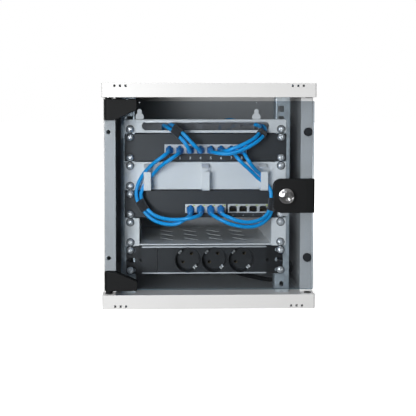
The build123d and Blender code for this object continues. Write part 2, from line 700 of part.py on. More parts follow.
CORD_ROUTES = {
    1: [(-58, -88, 227), (-58, -98, 227), (-62.3, -107, 224.1), (-69.7, -112.2, 219), (-78.5, -110, 212.5),
        (-86.5, -102, 205), (-93, -91, 197.5),
        (-99.5, -84.5, 188), (-105, -82, 177.5), (-108.3, -82.5, 166.5),
        (-108.3, -85, 156), (-104.6, -88, 145.8),
        (-98.3, -90, 137.3), (-91.5, -92, 129), (-82.5, -95.5, 121.8),
        (-71, -100.5, 118), (-58.5, -107, 116.7), (-46, -111.8, 118.3), (-36.8, -112.2, 123.5),
        (-28.9, -107, 127.8), (-24.3, -98, 130.3), (-24.3, -88, 130.3)],
    2: [(-42, -88, 225.5), (-42, -98, 225.5), (-46.4, -107, 222.7), (-53.9, -112.2, 217.7), (-62.3, -110, 212),
        (-70.5, -103, 205.5), (-77.5, -94, 197.5),
        (-84, -86, 189.5), (-90.5, -82, 181.5), (-96.5, -81, 172.5),
        (-101.5, -83.5, 161.5), (-100, -87.5, 151.5), (-94.8, -90.8, 142.8), (-88.3, -93.5, 134.8),
        (-80, -97, 129), (-70, -101.5, 126), (-59.5, -107, 124.7), (-48.5, -113, 125), (-37.5, -117.8, 126.6),
        (-27, -119.6, 128.2), (-17.5, -115.5, 129.9), (-10.8, -108, 131), (-8.4, -98, 131.3), (-8.4, -88, 131.3)],
    3: [(-25.2, -88, 226.8), (-25.2, -98, 226.8), (-27.8, -107, 231.3), (-32.3, -111, 239), (-38.8, -109, 247.2),
        (-46.5, -103, 254.2), (-54.6, -95, 260.2),
        (-60.8, -85.5, 264.3), (-64.4, -75, 266.3), (-65.8, -63.5, 266.3),
        (-66.5, -51, 263.8), (-66.8, -39.5, 258.8),
        (-66.8, -29, 251.5), (-66.5, -20.5, 242), (-66, -14.5, 230.5),
        (-65, -11, 218), (-63.5, -9, 205.5), (-61, -7.5, 193), (-56.5, -6, 181.5), (-49, -4.5, 172.8),
        (-39, -3.2, 168.6), (-27.5, -2, 167.8), (-16, -1, 167.8)],
    4: [(-9.1, -88, 226.8), (-9.1, -98, 226.8), (-12.8, -107, 230.5), (-19.2, -112.2, 236.9), (-26.8, -113, 244.8),
        (-34, -111.7, 252.6), (-41, -108.6, 259.4), (-47.6, -101.6, 264.9), (-52.4, -91.6, 267.8),
        (-55.2, -80, 268.2), (-56.6, -67.8, 267.2),
        (-57, -54.5, 264.8), (-56.5, -43, 260.6), (-55.5, -31.5, 254.6),
        (-54, -21.5, 246.5), (-52, -13, 236.5), (-50, -5.5, 225), (-48, 1, 213), (-46, 6.5, 200.5),
        (-43.5, 11, 188.5), (-38.5, 14.5, 177.5), (-30, 17, 170.2), (-19.5, 18.8, 167.8), (-8, 20, 167.8)],
    5: [(8.1, -88, 226.5), (8.1, -98, 226.5), (13.2, -107, 225.9), (22.2, -112.5, 224.8), (33.5, -113.6, 224.8),
        (44.5, -114, 227.6), (55.5, -113, 232),
        (66.5, -110.5, 237.3), (77, -105.5, 243.3), (85.5, -98, 249.8),
        (90.5, -88.5, 256), (92.3, -78, 261.3), (91, -67.5, 264.8), (85, -57.3, 266.2), (75, -49.3, 267.2),
        (63.5, -43, 267.8), (53, -36, 266.8), (44.5, -28.5, 262.8), (39, -20, 254.5), (37, -12, 244),
        (36.5, -4.5, 232.5), (36.5, 2.5, 221), (37, 8, 209.5), (38.5, 12.5, 197.5), (42, 15.5, 186),
        (47.5, 17.5, 176), (56, 18.8, 169.8), (66.3, 20, 167.8),
        (77, 21, 167.8)],
    6: [(24.2, -88, 227), (24.2, -98, 227), (29.1, -107, 228.6), (37.5, -112, 232.2), (48, -112.5, 236.2),
        (58.5, -111, 240.7), (68.5, -107.5, 245.9),
        (76.5, -101.5, 251.4), (82, -93, 256.9), (84.6, -83, 261.7),
        (84.9, -72.5, 265.1), (80.6, -63.4, 266.5), (72, -57, 268.3), (61, -51.7, 270.6), (48.5, -45.5, 273),
        (37.5, -38.5, 274.6), (30, -29.5, 270.5), (26.5, -21.5, 261.5), (25.5, -15.5, 250.5),
        (25.5, -11.5, 238.5), (26, -9.5, 226), (27.5, -8.5, 213.5), (29.5, -8, 201), (32.5, -7.5, 189),
        (38, -7, 178.3), (46.5, -6.5, 171.2), (57, -6, 167.8), (68, -5.4, 167.8)],
    7: [(40.3, -88, 226), (40.3, -96.5, 226), (43, -104.5, 221.8), (48.5, -108.5, 214.8), (56, -107, 207.5),
        (64, -101.8, 200.5), (72, -95.5, 193), (79.5, -90.3, 185.3), (88, -87.5, 179.8), (95.8, -87.6, 173.8),
        (100.2, -88.8, 164.5), (100, -91, 154.5), (99.5, -93, 145), (97, -94.5, 136), (91.5, -97.5, 128.3),
        (83, -101.5, 123), (72.5, -106, 120.5), (60.5, -110, 120.3), (48.5, -112.2, 122.3),
        (37.3, -112.2, 126.3), (28.8, -107, 129.3), (23.9, -98, 131), (23.9, -88, 131)],
    8: [(56.4, -88, 226), (56.4, -96.5, 226), (58.2, -104.6, 221.6), (62, -108.3, 214.5), (67.5, -106, 207),
        (73.5, -99.5, 200), (80.6, -91, 194.2), (87, -83.5, 187.6), (92.3, -81, 179.3), (98.5, -80.5, 170.5),
        (102.5, -82, 161.5), (103.8, -85, 152), (103.2, -87.5, 142.5), (101, -89.5, 133), (96.5, -93, 124.8),
        (88.8, -97, 118.3), (79, -101, 114), (68, -104.5, 112.3), (55.5, -108.5, 113.2), (43, -111.5, 115.8),
        (31, -113, 119.5), (20.8, -112.2, 124.3), (12.7, -107, 128.2), (8, -98, 130.5), (8, -88, 130.5)],
}
LEAD_ROUTE = [(117.7, -37, 50), (127, -37, 50), (137.2, -34.3, 44.7), (143.1, -29.7, 35.6), (143.1, -24.4, 25.1),
              (137.2, -19.6, 16), (127.2, -15, 9.6), (115, -9.5, 5.8), (102.5, -1, 5.1), (90.5, 9.5, 5.3),
              (78.5, 21, 5.1), (67.5, 34, 5.1), (58.5, 48.5, 5.3), (53.3, 64.5, 5.2), (51.8, 81, 5.1)]
PLUG_ROUTE = [(-10, 139, 19.4), (-23, 136, 19.9), (-36, 131.6, 20.2), (-49, 127.5, 20.2)]
SLEEVES = [
    ((-98.7, -89.5, 143.1), (5.5, -2.4, -8.0), (5.1, -0.9, 3.8), 18.0),
    ((-44.9, -104.5, 257.7), (-6.3, 5.6, 5.3), (3.2, -3.3, 7.3), 18.0),
    ((84.5, -93.7, 254.5), (4.1, 7.8, 4.8), (-6.1, 0.7, 4.1), 12.0),
    ((101.2, -90.1, 144.0), (-1.4, -2.1, -9.7), (-3.9, -5.7, 1.8), 20.0),
]


def bend_radii(points):
    """Radius at each corner: 0.45 of the shorter run over the tangent of half the turn."""
    corners = [Vector(*point) for point in points]
    radii = []
    for before, here, after in zip(corners, corners[1:], corners[2:]):
        turn = radians((here - before).get_angle(after - here))
        shorter = min((here - before).length, (after - here).length)
        radii.append(0.45 * shorter / tan(turn / 2))
    return radii


def tube(points, diameter, name):
    """Round tube along straight runs joined by tangent arcs."""
    radii = bend_radii(points)
    path = FilletPolyline(*points, radius=radii)
    section = Plane(path @ 0, z_dir=path % 0) * Circle(diameter / 2)
    solid = sweep(section, path=path)
    expected = pi * diameter ** 2 / 4 * path.length
    print(f"{name}: length {path.length:.1f}, smallest radius {min(radii):.1f}, "
          f"volume over section times length {solid.volume / expected:.4f}")
    return solid


def plug(x, z, drop, lean):
    """Plug body in its socket, boot outside it and a guard over the latch; the boot ends at BOOT_TIP."""
    face = PANEL_FRONT - 0.7
    body = block(x - 5.8, x + 5.8, face, PANEL_FRONT + 11.5, z - 3.35, z + 3.35)
    latch = block(x - 2.9, x + 2.9, face, PANEL_FRONT + 9, z + 3.35, z + 4.6)
    root = Plane((x, face, z), x_dir=(1, 0, 0), z_dir=(0, -1, 0))
    tip = Plane((x + lean, face - 12.3, z - drop), x_dir=(1, 0, 0), z_dir=(0, -1, 0))
    boot = loft([root * RectangleRounded(11.6, 9.0, 1.6), tip * RectangleRounded(8.4, 8.4, 4.1)])
    collar = extrude(tip * Circle(4.2), face - 12.3 - BOOT_TIP)
    guard = block(x - 2.2, x + 2.2, face - 9.5, face, z + 2.5, z + 7.4)
    guard = chamfer(guard.edges().filter_by(Axis.X).sort_by(Axis.Y)[0:2].sort_by(Axis.Z)[-1], 2.6)
    return body + latch + boot + collar + guard


def seated_plugs():
    """Plugs in the patch panel's eight sockets and in the switch's first four."""
    patch = [(1, 0), (2, 0), (3, 0), (4, 0), (5, 0), (6, 0), (7, 0), (8, 0)]
    plugs = []
    for cord, end in patch:
        tip = CORD_ROUTES[cord][end]
        x = patch_ports()[cord - 1]
        plugs.append(plug(x, PATCH_PORT_Z, PATCH_PORT_Z - tip[2], tip[0] - x))
    for cord, port in ((1, 1), (2, 2), (8, 3), (7, 4)):
        tip = CORD_ROUTES[cord][-1]
        x = switch_ports()[port - 1]
        plugs.append(plug(x, SWITCH_PORT_Z, SWITCH_PORT_Z - tip[2], tip[0] - x))
    return plugs


def loose_plugs():
    """Plugs on the far ends of cords three to six, lying on the switch case."""
    plugs = []
    shape = Pos(0, -BOOT_TIP, 0) * plug(0, 0, 0, 0)
    for cord in (3, 4, 5, 6):
        before, end = [Vector(*point) for point in CORD_ROUTES[cord][-2:]]
        heading = degrees(atan2(end.Y - before.Y, end.X - before.X)) - 90
        plugs.append(Pos(end.X, end.Y, end.Z) * Rot(0, 0, heading) * shape)
    return plugs


def cord_sleeves():
    """Textile wraps that hold the cords in pairs."""
    sleeves = []
    for centre, along, across, length in SLEEVES:
        gap = Vector(*across).length
        direction = Vector(*along).normalized()
        plane = Plane(Vector(*centre) - direction * (length / 2), x_dir=across, z_dir=along)
        outer = SlotOverall(gap + CORD_D + 2.0, CORD_D + 2.0)
        inner = SlotOverall(gap + CORD_D + 0.6, CORD_D + 0.6)
        sleeves.append(extrude(plane * (outer - inner), length))
    return sleeves


def mains_coil():
    """Outer shape of the wound part of the mains lead, lying on the cabinet floor."""
    ring = Pos(*COIL_CENTRE) * (Circle(COIL_R + LEAD_D) - Circle(COIL_R - LEAD_D))
    coil = slab_z(ring, PLATE + 0.1, PLATE + 0.1 + COIL_HEIGHT)
    return fillet(coil.edges(), 3.0)


def mains_plug():
    """Earthed mains plug lying beside the coil, pins towards -X."""
    x, y, z = PLUG_ROUTE[-1]
    heading = Vector(x - PLUG_ROUTE[-2][0], y - PLUG_ROUTE[-2][1], 0)
    plane = Plane((x, y, z), x_dir=(0, 0, 1), z_dir=heading)
    relief = loft([plane * Circle(4.2), plane.offset(16) * Circle(5.6)])
    grip = loft([plane.offset(16) * Circle(8.0), plane.offset(38) * Circle(14.0)])
    body = extrude(plane.offset(38) * Circle(18.3), 16)
    shape = relief + grip + body
    for side in (-9.5, 9.5):
        shape += extrude(plane.offset(54) * Pos(0, side) * Circle(2.4), 19)
    return shape


# ---------------------------------------------------------------- build

base = bottom_cover()
save(base, "bottom_cover")
save(flip_z(base), "top_cover")
left_side = side_panel()
save(left_side, "left_side_panel")
save(flip_x(left_side), "right_side_panel")
save(back_panel(), "back_panel")
left_rail = mounting_rail()
save(left_rail, "left_mounting_rail")
save(flip_x(left_rail), "right_mounting_rail")
save(rail_nuts(), "rail_nuts")
save(pivot_bushes(), "pivot_bushes")
save(door_buffers(), "door_buffers")

save(brush_panel(), "brush_panel")
save(brush_holder(), "brush_holder")
save(brush_bristles(), "brush_bristles")
save(patch_panel(), "patch_panel")
save(patch_jacks(), "patch_jacks")
save(patch_board(), "patch_board")
save(patch_terminals(), "patch_terminals")
save(rack_panel(MANAGER_LOW, MANAGER_HIGH, 12.0), "cable_manager_panel")
save(cable_rings(), "cable_rings")
save(switch_front(), "switch_front")
save(switch_case(), "switch_case")
save(switch_jacks(), "switch_jacks")
save(switch_board(), "switch_board")
save(vented_shelf(), "vented_shelf")

save(pdu_profile(), "pdu_profile")
for name, socket_x in zip(("left", "middle", "right"), SOCKET_X):
    save(pdu_socket(socket_x), f"pdu_{name}_socket")
save(pdu_blank_inserts(), "pdu_blank_inserts")
save(pdu_earth_clips(), "pdu_earth_clips")
save(pdu_bracket(PDU_X[0], -124.8, -1), "pdu_left_bracket")
save(pdu_bracket(PDU_X[1], 122.2, 1), "pdu_right_bracket")
save(strain_relief(), "pdu_strain_relief")
save(rack_screws(), "rack_screws")
save(cup_washers(), "cup_washers")
save(cage_nuts(), "cage_nuts")

save(door_glass(), "door_glass")
save(upper_hinge_fitting(), "upper_hinge_fitting")
save(lower_hinge_fitting(), "lower_hinge_fitting")
save(hinge_pins(), "hinge_pins")
save(lock_plate(), "lock_plate")
save(lock_housing(), "lock_housing")
save(lock_nut(), "lock_nut")
save(lock_cylinder(), "lock_cylinder")
save(lock_cam(), "lock_cam")
save(cam_screw(), "cam_screw")

for cord_number, route in CORD_ROUTES.items():
    save(tube(route, CORD_D, f"patch_cord_{cord_number}"), f"patch_cord_{cord_number}")
save(seated_plugs(), "seated_plugs")
save(loose_plugs(), "loose_plugs")
save(cord_sleeves(), "cord_sleeves")
save([tube(LEAD_ROUTE, LEAD_D, "mains_lead"), tube(PLUG_ROUTE, LEAD_D, "mains_lead_end")], "mains_lead")
save(mains_coil(), "mains_coil")
save(mains_plug(), "mains_plug")
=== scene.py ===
import json
import math
import random

import bpy
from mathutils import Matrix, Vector


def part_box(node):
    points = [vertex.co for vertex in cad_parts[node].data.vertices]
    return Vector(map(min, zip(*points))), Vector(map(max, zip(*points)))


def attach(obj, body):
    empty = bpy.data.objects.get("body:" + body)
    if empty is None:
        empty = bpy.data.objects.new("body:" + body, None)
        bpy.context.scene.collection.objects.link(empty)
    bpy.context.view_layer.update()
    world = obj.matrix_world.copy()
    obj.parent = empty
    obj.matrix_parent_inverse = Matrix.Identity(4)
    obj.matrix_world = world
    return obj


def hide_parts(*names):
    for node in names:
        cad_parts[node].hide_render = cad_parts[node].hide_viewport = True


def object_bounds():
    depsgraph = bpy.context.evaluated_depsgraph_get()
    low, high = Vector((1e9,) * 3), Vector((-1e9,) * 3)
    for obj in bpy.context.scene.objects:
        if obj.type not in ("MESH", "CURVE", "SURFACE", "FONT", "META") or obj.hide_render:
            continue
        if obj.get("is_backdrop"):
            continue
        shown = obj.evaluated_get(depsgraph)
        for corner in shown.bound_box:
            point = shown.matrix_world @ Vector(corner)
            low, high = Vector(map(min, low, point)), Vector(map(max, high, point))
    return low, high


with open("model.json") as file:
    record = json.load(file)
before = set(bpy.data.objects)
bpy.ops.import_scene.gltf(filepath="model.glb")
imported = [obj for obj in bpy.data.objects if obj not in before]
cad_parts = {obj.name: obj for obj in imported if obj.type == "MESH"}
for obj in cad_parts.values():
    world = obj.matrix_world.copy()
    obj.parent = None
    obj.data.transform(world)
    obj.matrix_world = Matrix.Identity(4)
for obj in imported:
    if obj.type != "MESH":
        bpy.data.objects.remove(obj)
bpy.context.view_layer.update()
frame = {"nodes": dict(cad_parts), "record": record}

MM = 0.001
GLASS_PASSES = (0.66, 0.69, 0.715)  # share of light that passes each face of the door glass

# ---------------------------------------------------------------- camera

camera = bpy.data.objects.new("camera", bpy.data.cameras.new("camera"))
bpy.context.collection.objects.link(camera)
camera.location = (-0.0708, -1.1408, 0.3017)
camera.rotation_euler = (math.radians(90 - 2.6), 0, math.radians(-1.2))
camera.data.sensor_width = 36
camera.data.lens = 59.34
camera.data.shift_x = 0.0799
camera.data.shift_y = -0.1784
camera.data.clip_start = 0.05
camera.data.clip_end = 50
bpy.context.scene.camera = camera
bpy.context.scene.view_settings.view_transform = "Standard"

# ---------------------------------------------------------------- materials


def link(tree, source, target):
    tree.links.new(source, target)


def node(tree, kind, **values):
    made = tree.nodes.new(kind)
    for key, value in values.items():
        if key in made.inputs:
            made.inputs[key].default_value = value
        else:
            setattr(made, key, value)
    return made


def surface(name, color, rough=0.5, metallic=0.0, grain=1300.0, bump=0.02, spread=0.05, patch=14.0,
            round_edge=0.35, wear=0.0, stretch=None, rough_spread=0.08, **sockets):
    """Procedural finish: fine grain in the relief, soft patches in colour and roughness, rounded and worn edges.

    bump and round_edge are in millimetres; stretch scales the grain's coordinates.
    """
    mat = bpy.data.materials.new(name)
    mat.use_nodes = True
    tree = mat.node_tree
    shader = tree.nodes["Principled BSDF"]
    shader.inputs["Metallic"].default_value = metallic
    for key, value in sockets.items():
        shader.inputs[key.replace("_", " ")].default_value = value
    coords = node(tree, "ShaderNodeTexCoord")
    source = coords.outputs["Object"]
    if stretch:
        mapping = node(tree, "ShaderNodeMapping")
        mapping.inputs["Scale"].default_value = stretch
        link(tree, source, mapping.inputs["Vector"])
        source = mapping.outputs["Vector"]
    fine = node(tree, "ShaderNodeTexNoise", Scale=grain, Detail=3.0, Roughness=0.55)
    link(tree, source, fine.inputs["Vector"])
    broad = node(tree, "ShaderNodeTexNoise", Scale=patch, Detail=4.0, Roughness=0.6)
    link(tree, coords.outputs["Object"], broad.inputs["Vector"])
    mixed = node(tree, "ShaderNodeMix", data_type="RGBA")
    dark = [max(0.0, c * (1 - spread)) for c in color]
    light = [min(1.0, c * (1 + spread)) for c in color]
    mixed.inputs[6].default_value = (*dark, 1)
    mixed.inputs[7].default_value = (*light, 1)
    link(tree, broad.outputs["Fac"], mixed.inputs[0])
    out_color = mixed.outputs[2]
    bevel = node(tree, "ShaderNodeBevel", samples=4, Radius=round_edge * MM)
    if wear > 0:
        geometry = node(tree, "ShaderNodeNewGeometry")
        dot = node(tree, "ShaderNodeVectorMath", operation="DOT_PRODUCT")
        link(tree, bevel.outputs["Normal"], dot.inputs[0])
        link(tree, geometry.outputs["Normal"], dot.inputs[1])
        edge = node(tree, "ShaderNodeMapRange")
        edge.inputs["From Min"].default_value = 0.995
        edge.inputs["From Max"].default_value = 0.90
        edge.inputs["To Max"].default_value = wear
        link(tree, dot.outputs["Value"], edge.inputs["Value"])
        worn = node(tree, "ShaderNodeMix", data_type="RGBA")
        worn.inputs[7].default_value = (*[min(1.0, c * 1.25 + 0.06) for c in color], 1)
        link(tree, edge.outputs["Result"], worn.inputs[0])
        link(tree, out_color, worn.inputs[6])
        out_color = worn.outputs[2]
    link(tree, out_color, shader.inputs["Base Color"])
    roughness = node(tree, "ShaderNodeMapRange")
    roughness.inputs["To Min"].default_value = max(0.02, rough - rough_spread)
    roughness.inputs["To Max"].default_value = min(1.0, rough + rough_spread)
    link(tree, broad.outputs["Fac"], roughness.inputs["Value"])
    link(tree, roughness.outputs["Result"], shader.inputs["Roughness"])
    relief = node(tree, "ShaderNodeBump", Strength=1.0, Distance=bump * MM)
    link(tree, fine.outputs["Fac"], relief.inputs["Height"])
    link(tree, bevel.outputs["Normal"], relief.inputs["Normal"])
    link(tree, relief.outputs["Normal"], shader.inputs["Normal"])
    return mat


def spangled(name, color, rough=0.38):
    """Galvanised sheet: zinc crystals of slightly different shade and gloss under fine rolling lines."""
    mat = surface(name, color, rough, 0.45, grain=700.0, bump=0.008, spread=0.08, patch=30.0,
                  stretch=(1.0, 1.0, 0.06), wear=0.3)
    tree = mat.node_tree
    shader = tree.nodes["Principled BSDF"]
    cells = node(tree, "ShaderNodeTexVoronoi", Scale=170.0)
    coords = next(n for n in tree.nodes if n.type == "TEX_COORD")
    link(tree, coords.outputs["Object"], cells.inputs["Vector"])
    grey = node(tree, "ShaderNodeSeparateColor")
    link(tree, cells.outputs["Color"], grey.inputs["Color"])
    shade = node(tree, "ShaderNodeMapRange")
    shade.inputs["To Min"].default_value = 0.82
    shade.inputs["To Max"].default_value = 1.12
    link(tree, grey.outputs["Red"], shade.inputs["Value"])
    product = node(tree, "ShaderNodeMix", data_type="RGBA", blend_type="MULTIPLY")
    product.inputs[0].default_value = 1.0
    before = shader.inputs["Base Color"].links[0].from_socket
    link(tree, before, product.inputs[6])
    link(tree, shade.outputs["Result"], product.inputs[7])
    link(tree, product.outputs[2], shader.inputs["Base Color"])
    return mat


def woven(name, color, pitch=0.9):
    """Loop tape: crossed ribs with fuzz on top."""
    mat = surface(name, color, 0.92, grain=2600.0, bump=0.10, spread=0.35, patch=500.0, round_edge=0.2,
                  Sheen_Weight=0.35, Sheen_Roughness=0.6)
    tree = mat.node_tree
    relief = next(n for n in tree.nodes if n.type == "BUMP")
    coords = next(n for n in tree.nodes if n.type == "TEX_COORD")
    total = relief.inputs["Height"].links[0].from_socket
    for direction in ("X", "Z"):
        wave = node(tree, "ShaderNodeTexWave", Scale=1000.0 / pitch / 6.28, Distortion=1.2, Detail=1.0)
        wave.bands_direction = direction
        link(tree, coords.outputs["Object"], wave.inputs["Vector"])
        added = node(tree, "ShaderNodeMath", operation="ADD")
        link(tree, total, added.inputs[0])
        link(tree, wave.outputs["Fac"], added.inputs[1])
        total = added.outputs[0]
    link(tree, total, relief.inputs["Height"])
    return mat


def tinted_glass():
    """Blue-grey safety glass: tinted see-through faces that mirror at a slant, and pale green ground edges."""
    mat = bpy.data.materials.new("tinted_glass")
    mat.use_nodes = True
    tree = mat.node_tree
    mirror = tree.nodes["Principled BSDF"]
    mirror.inputs["Metallic"].default_value = 1.0
    mirror.inputs["Base Color"].default_value = (0.85, 0.92, 1.0, 1)
    coords = node(tree, "ShaderNodeTexCoord")
    smudge = node(tree, "ShaderNodeTexNoise", Scale=9.0, Detail=5.0)
    link(tree, coords.outputs["Object"], smudge.inputs["Vector"])
    rough = node(tree, "ShaderNodeMapRange")
    rough.inputs["To Min"].default_value = 0.015
    rough.inputs["To Max"].default_value = 0.06
    link(tree, smudge.outputs["Fac"], rough.inputs["Value"])
    link(tree, rough.outputs["Result"], mirror.inputs["Roughness"])
    clear = node(tree, "ShaderNodeBsdfTransparent", Color=(*GLASS_PASSES, 1))
    pane = node(tree, "ShaderNodeMixShader")
    link(tree, node(tree, "ShaderNodeFresnel", IOR=1.4).outputs["Fac"], pane.inputs[0])
    link(tree, clear.outputs[0], pane.inputs[1])
    link(tree, mirror.outputs[0], pane.inputs[2])
    ground = node(tree, "ShaderNodeBsdfPrincipled", Roughness=0.35)
    ground.inputs["Base Color"].default_value = (0.10, 0.15, 0.17, 1)
    split = node(tree, "ShaderNodeSeparateXYZ")
    link(tree, coords.outputs["Normal"], split.inputs["Vector"])
    facing = node(tree, "ShaderNodeMath", operation="ABSOLUTE")
    link(tree, split.outputs["Y"], facing.inputs[0])
    edge = node(tree, "ShaderNodeMapRange")
    edge.inputs["From Min"].default_value = 0.9
    edge.inputs["From Max"].default_value = 0.5
    edge.inputs["To Max"].default_value = 0.8
    link(tree, facing.outputs[0], edge.inputs["Value"])
    whole = node(tree, "ShaderNodeMixShader")
    link(tree, edge.outputs["Result"], whole.inputs[0])
    link(tree, pane.outputs[0], whole.inputs[1])
    link(tree, ground.outputs[0], whole.inputs[2])
    link(tree, whole.outputs[0], tree.nodes["Material Output"].inputs["Surface"])
    return mat


MATERIALS = {
    "case_paint": surface("case_paint", (0.47, 0.47, 0.468), 0.42, grain=1500, bump=0.030, spread=0.02,
                          wear=0.25),
    "back_paint": surface("back_paint", (0.45, 0.45, 0.45), 0.5, grain=1500, bump=0.03, spread=0.03),
    "galvanised": spangled("galvanised", (0.50, 0.55, 0.58)),
    "zinc": surface("zinc", (0.90, 0.90, 0.90), 0.38, 0.75, grain=900, bump=0.01, spread=0.08, patch=120,
                    wear=0.3),
    "pivot_nylon": surface("pivot_nylon", (0.03, 0.03, 0.03), 0.5),
    "rubber": surface("rubber", (0.012, 0.012, 0.013), 0.75, grain=2500, bump=0.03),
    # panel_paint is the case's light grey paint set much lighter than case_paint: painted light on the recessed
    # panels behind the glass.
    "panel_paint": surface("panel_paint", (0.87, 0.87, 0.86), 0.42, grain=1500, bump=0.025, spread=0.02,
                           wear=0.2),
    "anodised": surface("anodised", (0.78, 0.79, 0.80), 0.34, 0.55, grain=900, bump=0.006, spread=0.05,
                        stretch=(0.03, 1, 1)),
    # The bristles are black nylon; their grey base colour is painted sheen.
    "bristles": surface("bristles", (0.42, 0.42, 0.43), 0.5, grain=3000, bump=0.01, spread=0.95, patch=900),
    "dark_paint": surface("dark_paint", (0.030, 0.032, 0.035), 0.48, grain=1700, bump=0.03, spread=0.06,
                          wear=0.15),
    "white_plastic": surface("white_plastic", (0.74, 0.75, 0.76), 0.38, grain=2400, bump=0.006, spread=0.02),
    "board": surface("board", (0.01, 0.10, 0.04), 0.35, grain=500, bump=0.02, spread=0.15, patch=60),
    "terminal_plastic": surface("terminal_plastic", (0.62, 0.62, 0.58), 0.45, grain=2000, bump=0.01),
    "shield": surface("shield", (0.72, 0.72, 0.71), 0.40, 0.75, grain=700, bump=0.008, spread=0.06, patch=80,
                      stretch=(0.05, 1, 1)),
    "black_plastic": surface("black_plastic", (0.018, 0.019, 0.021), 0.42, grain=2000, bump=0.018,
                             spread=0.08,
                             wear=0.12),
    "spring_metal": surface("spring_metal", (0.80, 0.77, 0.70), 0.20, 1.0, grain=900, bump=0.006,
                            spread=0.05),
    "black_paint": surface("black_paint", (0.013, 0.013, 0.014), 0.36, grain=1500, bump=0.02, spread=0.08,
                           wear=0.15),
    "blue_jacket": surface("blue_jacket", (0.006, 0.40, 0.90), 0.38, grain=900, bump=0.012, spread=0.05,
                           patch=60,
                           round_edge=0.05, Coat_Weight=0.15),
    "blue_boot": surface("blue_boot", (0.020, 0.25, 0.66), 0.42, grain=1800, bump=0.012, spread=0.08,
                         patch=90),
    "textile": woven("textile", (0.012, 0.012, 0.014)),
    "lead_jacket": surface("lead_jacket", (0.012, 0.012, 0.013), 0.38, grain=1200, bump=0.012,
                           round_edge=0.05),
    "tinted_glass": tinted_glass(),
    "fitting_plastic": surface("fitting_plastic", (0.008, 0.0085, 0.009), 0.58, grain=1100, bump=0.05,
                               spread=0.10,
                               patch=40, wear=0.1, round_edge=0.6, Specular_IOR_Level=0.06),
    "pin_steel": surface("pin_steel", (0.6, 0.6, 0.6), 0.25, 1.0, grain=900, bump=0.005, stretch=(1, 1, 0.1)),
    "chrome": surface("chrome", (0.80, 0.80, 0.81), 0.10, 1.0, grain=400, bump=0.002, spread=0.02,
                      rough_spread=0.03,
                      round_edge=0.25),
}
for part in frame["record"]["subparts"]:
    carried = frame["nodes"][part["node"]]
    carried.data.materials.clear()
    carried.data.materials.append(MATERIALS[part["material_slot"]])

# ---------------------------------------------------------------- helpers


def place(obj, slot, body="cabinet", finish=None):
    """Link a new piece, give it its finish and let it ride on a body."""
    if obj.name not in bpy.context.collection.objects:
        bpy.context.collection.objects.link(obj)
    obj.data.materials.append(finish or MATERIALS[slot])
    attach(obj, body)
    return obj


def mesh_object(name, verts, faces, smooth=True):
    data = bpy.data.meshes.new(name)
    data.from_pydata([tuple(c * MM for c in v) for v in verts], [], faces)
    data.validate()
    for face in data.polygons:
        face.use_smooth = smooth
    return bpy.data.objects.new(name, data)


def rounded_ring(wide, high, corner, steps=5):
    """Corners of a rounded rectangle, half sizes given, anticlockwise from the lower right."""
    points = []
    corner = min(corner, wide, high)
    for quarter, (sx, sz) in enumerate(((1, -1), (1, 1), (-1, 1), (-1, -1))):
        for step in range(steps + 1):
            turn = math.radians(-90 + 90 * quarter + 90 * step / steps)
            points.append((sx * (wide - corner) + corner * math.cos(turn),
                           sz * (high - corner) + corner * math.sin(turn)))
    return points


def loft(rings, first=0, cap=True):
    """Faces joining rings of equal length whose vertices are numbered one after another."""
    size = len(rings[0])
    verts = [v for ring in rings for v in ring]
    faces = []
    for row in range(len(rings) - 1):
        for k in range(size):
            a = first + row * size + k
            b = first + row * size + (k + 1) % size
            faces.append((a, b, b + size, a + size))
    if cap:
        faces.append(tuple(first + k for k in reversed(range(size))))
        faces.append(tuple(first + (len(rings) - 1) * size + k for k in range(size)))
    return verts, faces


class Shape:
    """Vertices and faces gathered from several lofts."""

    def __init__(self):
        self.verts = []
        self.faces = []

    def add(self, rings, cap=True):
        verts, faces = loft(rings, len(self.verts), cap)
        self.verts += verts
        self.faces += faces

    def box(self, low, high):
        x0, y0, z0 = low
        x1, y1, z1 = high
        self.add([[(x0, y, z0), (x1, y, z0), (x1, y, z1), (x0, y, z1)] for y in (y1, y0)])


# ---------------------------------------------------------------- cords

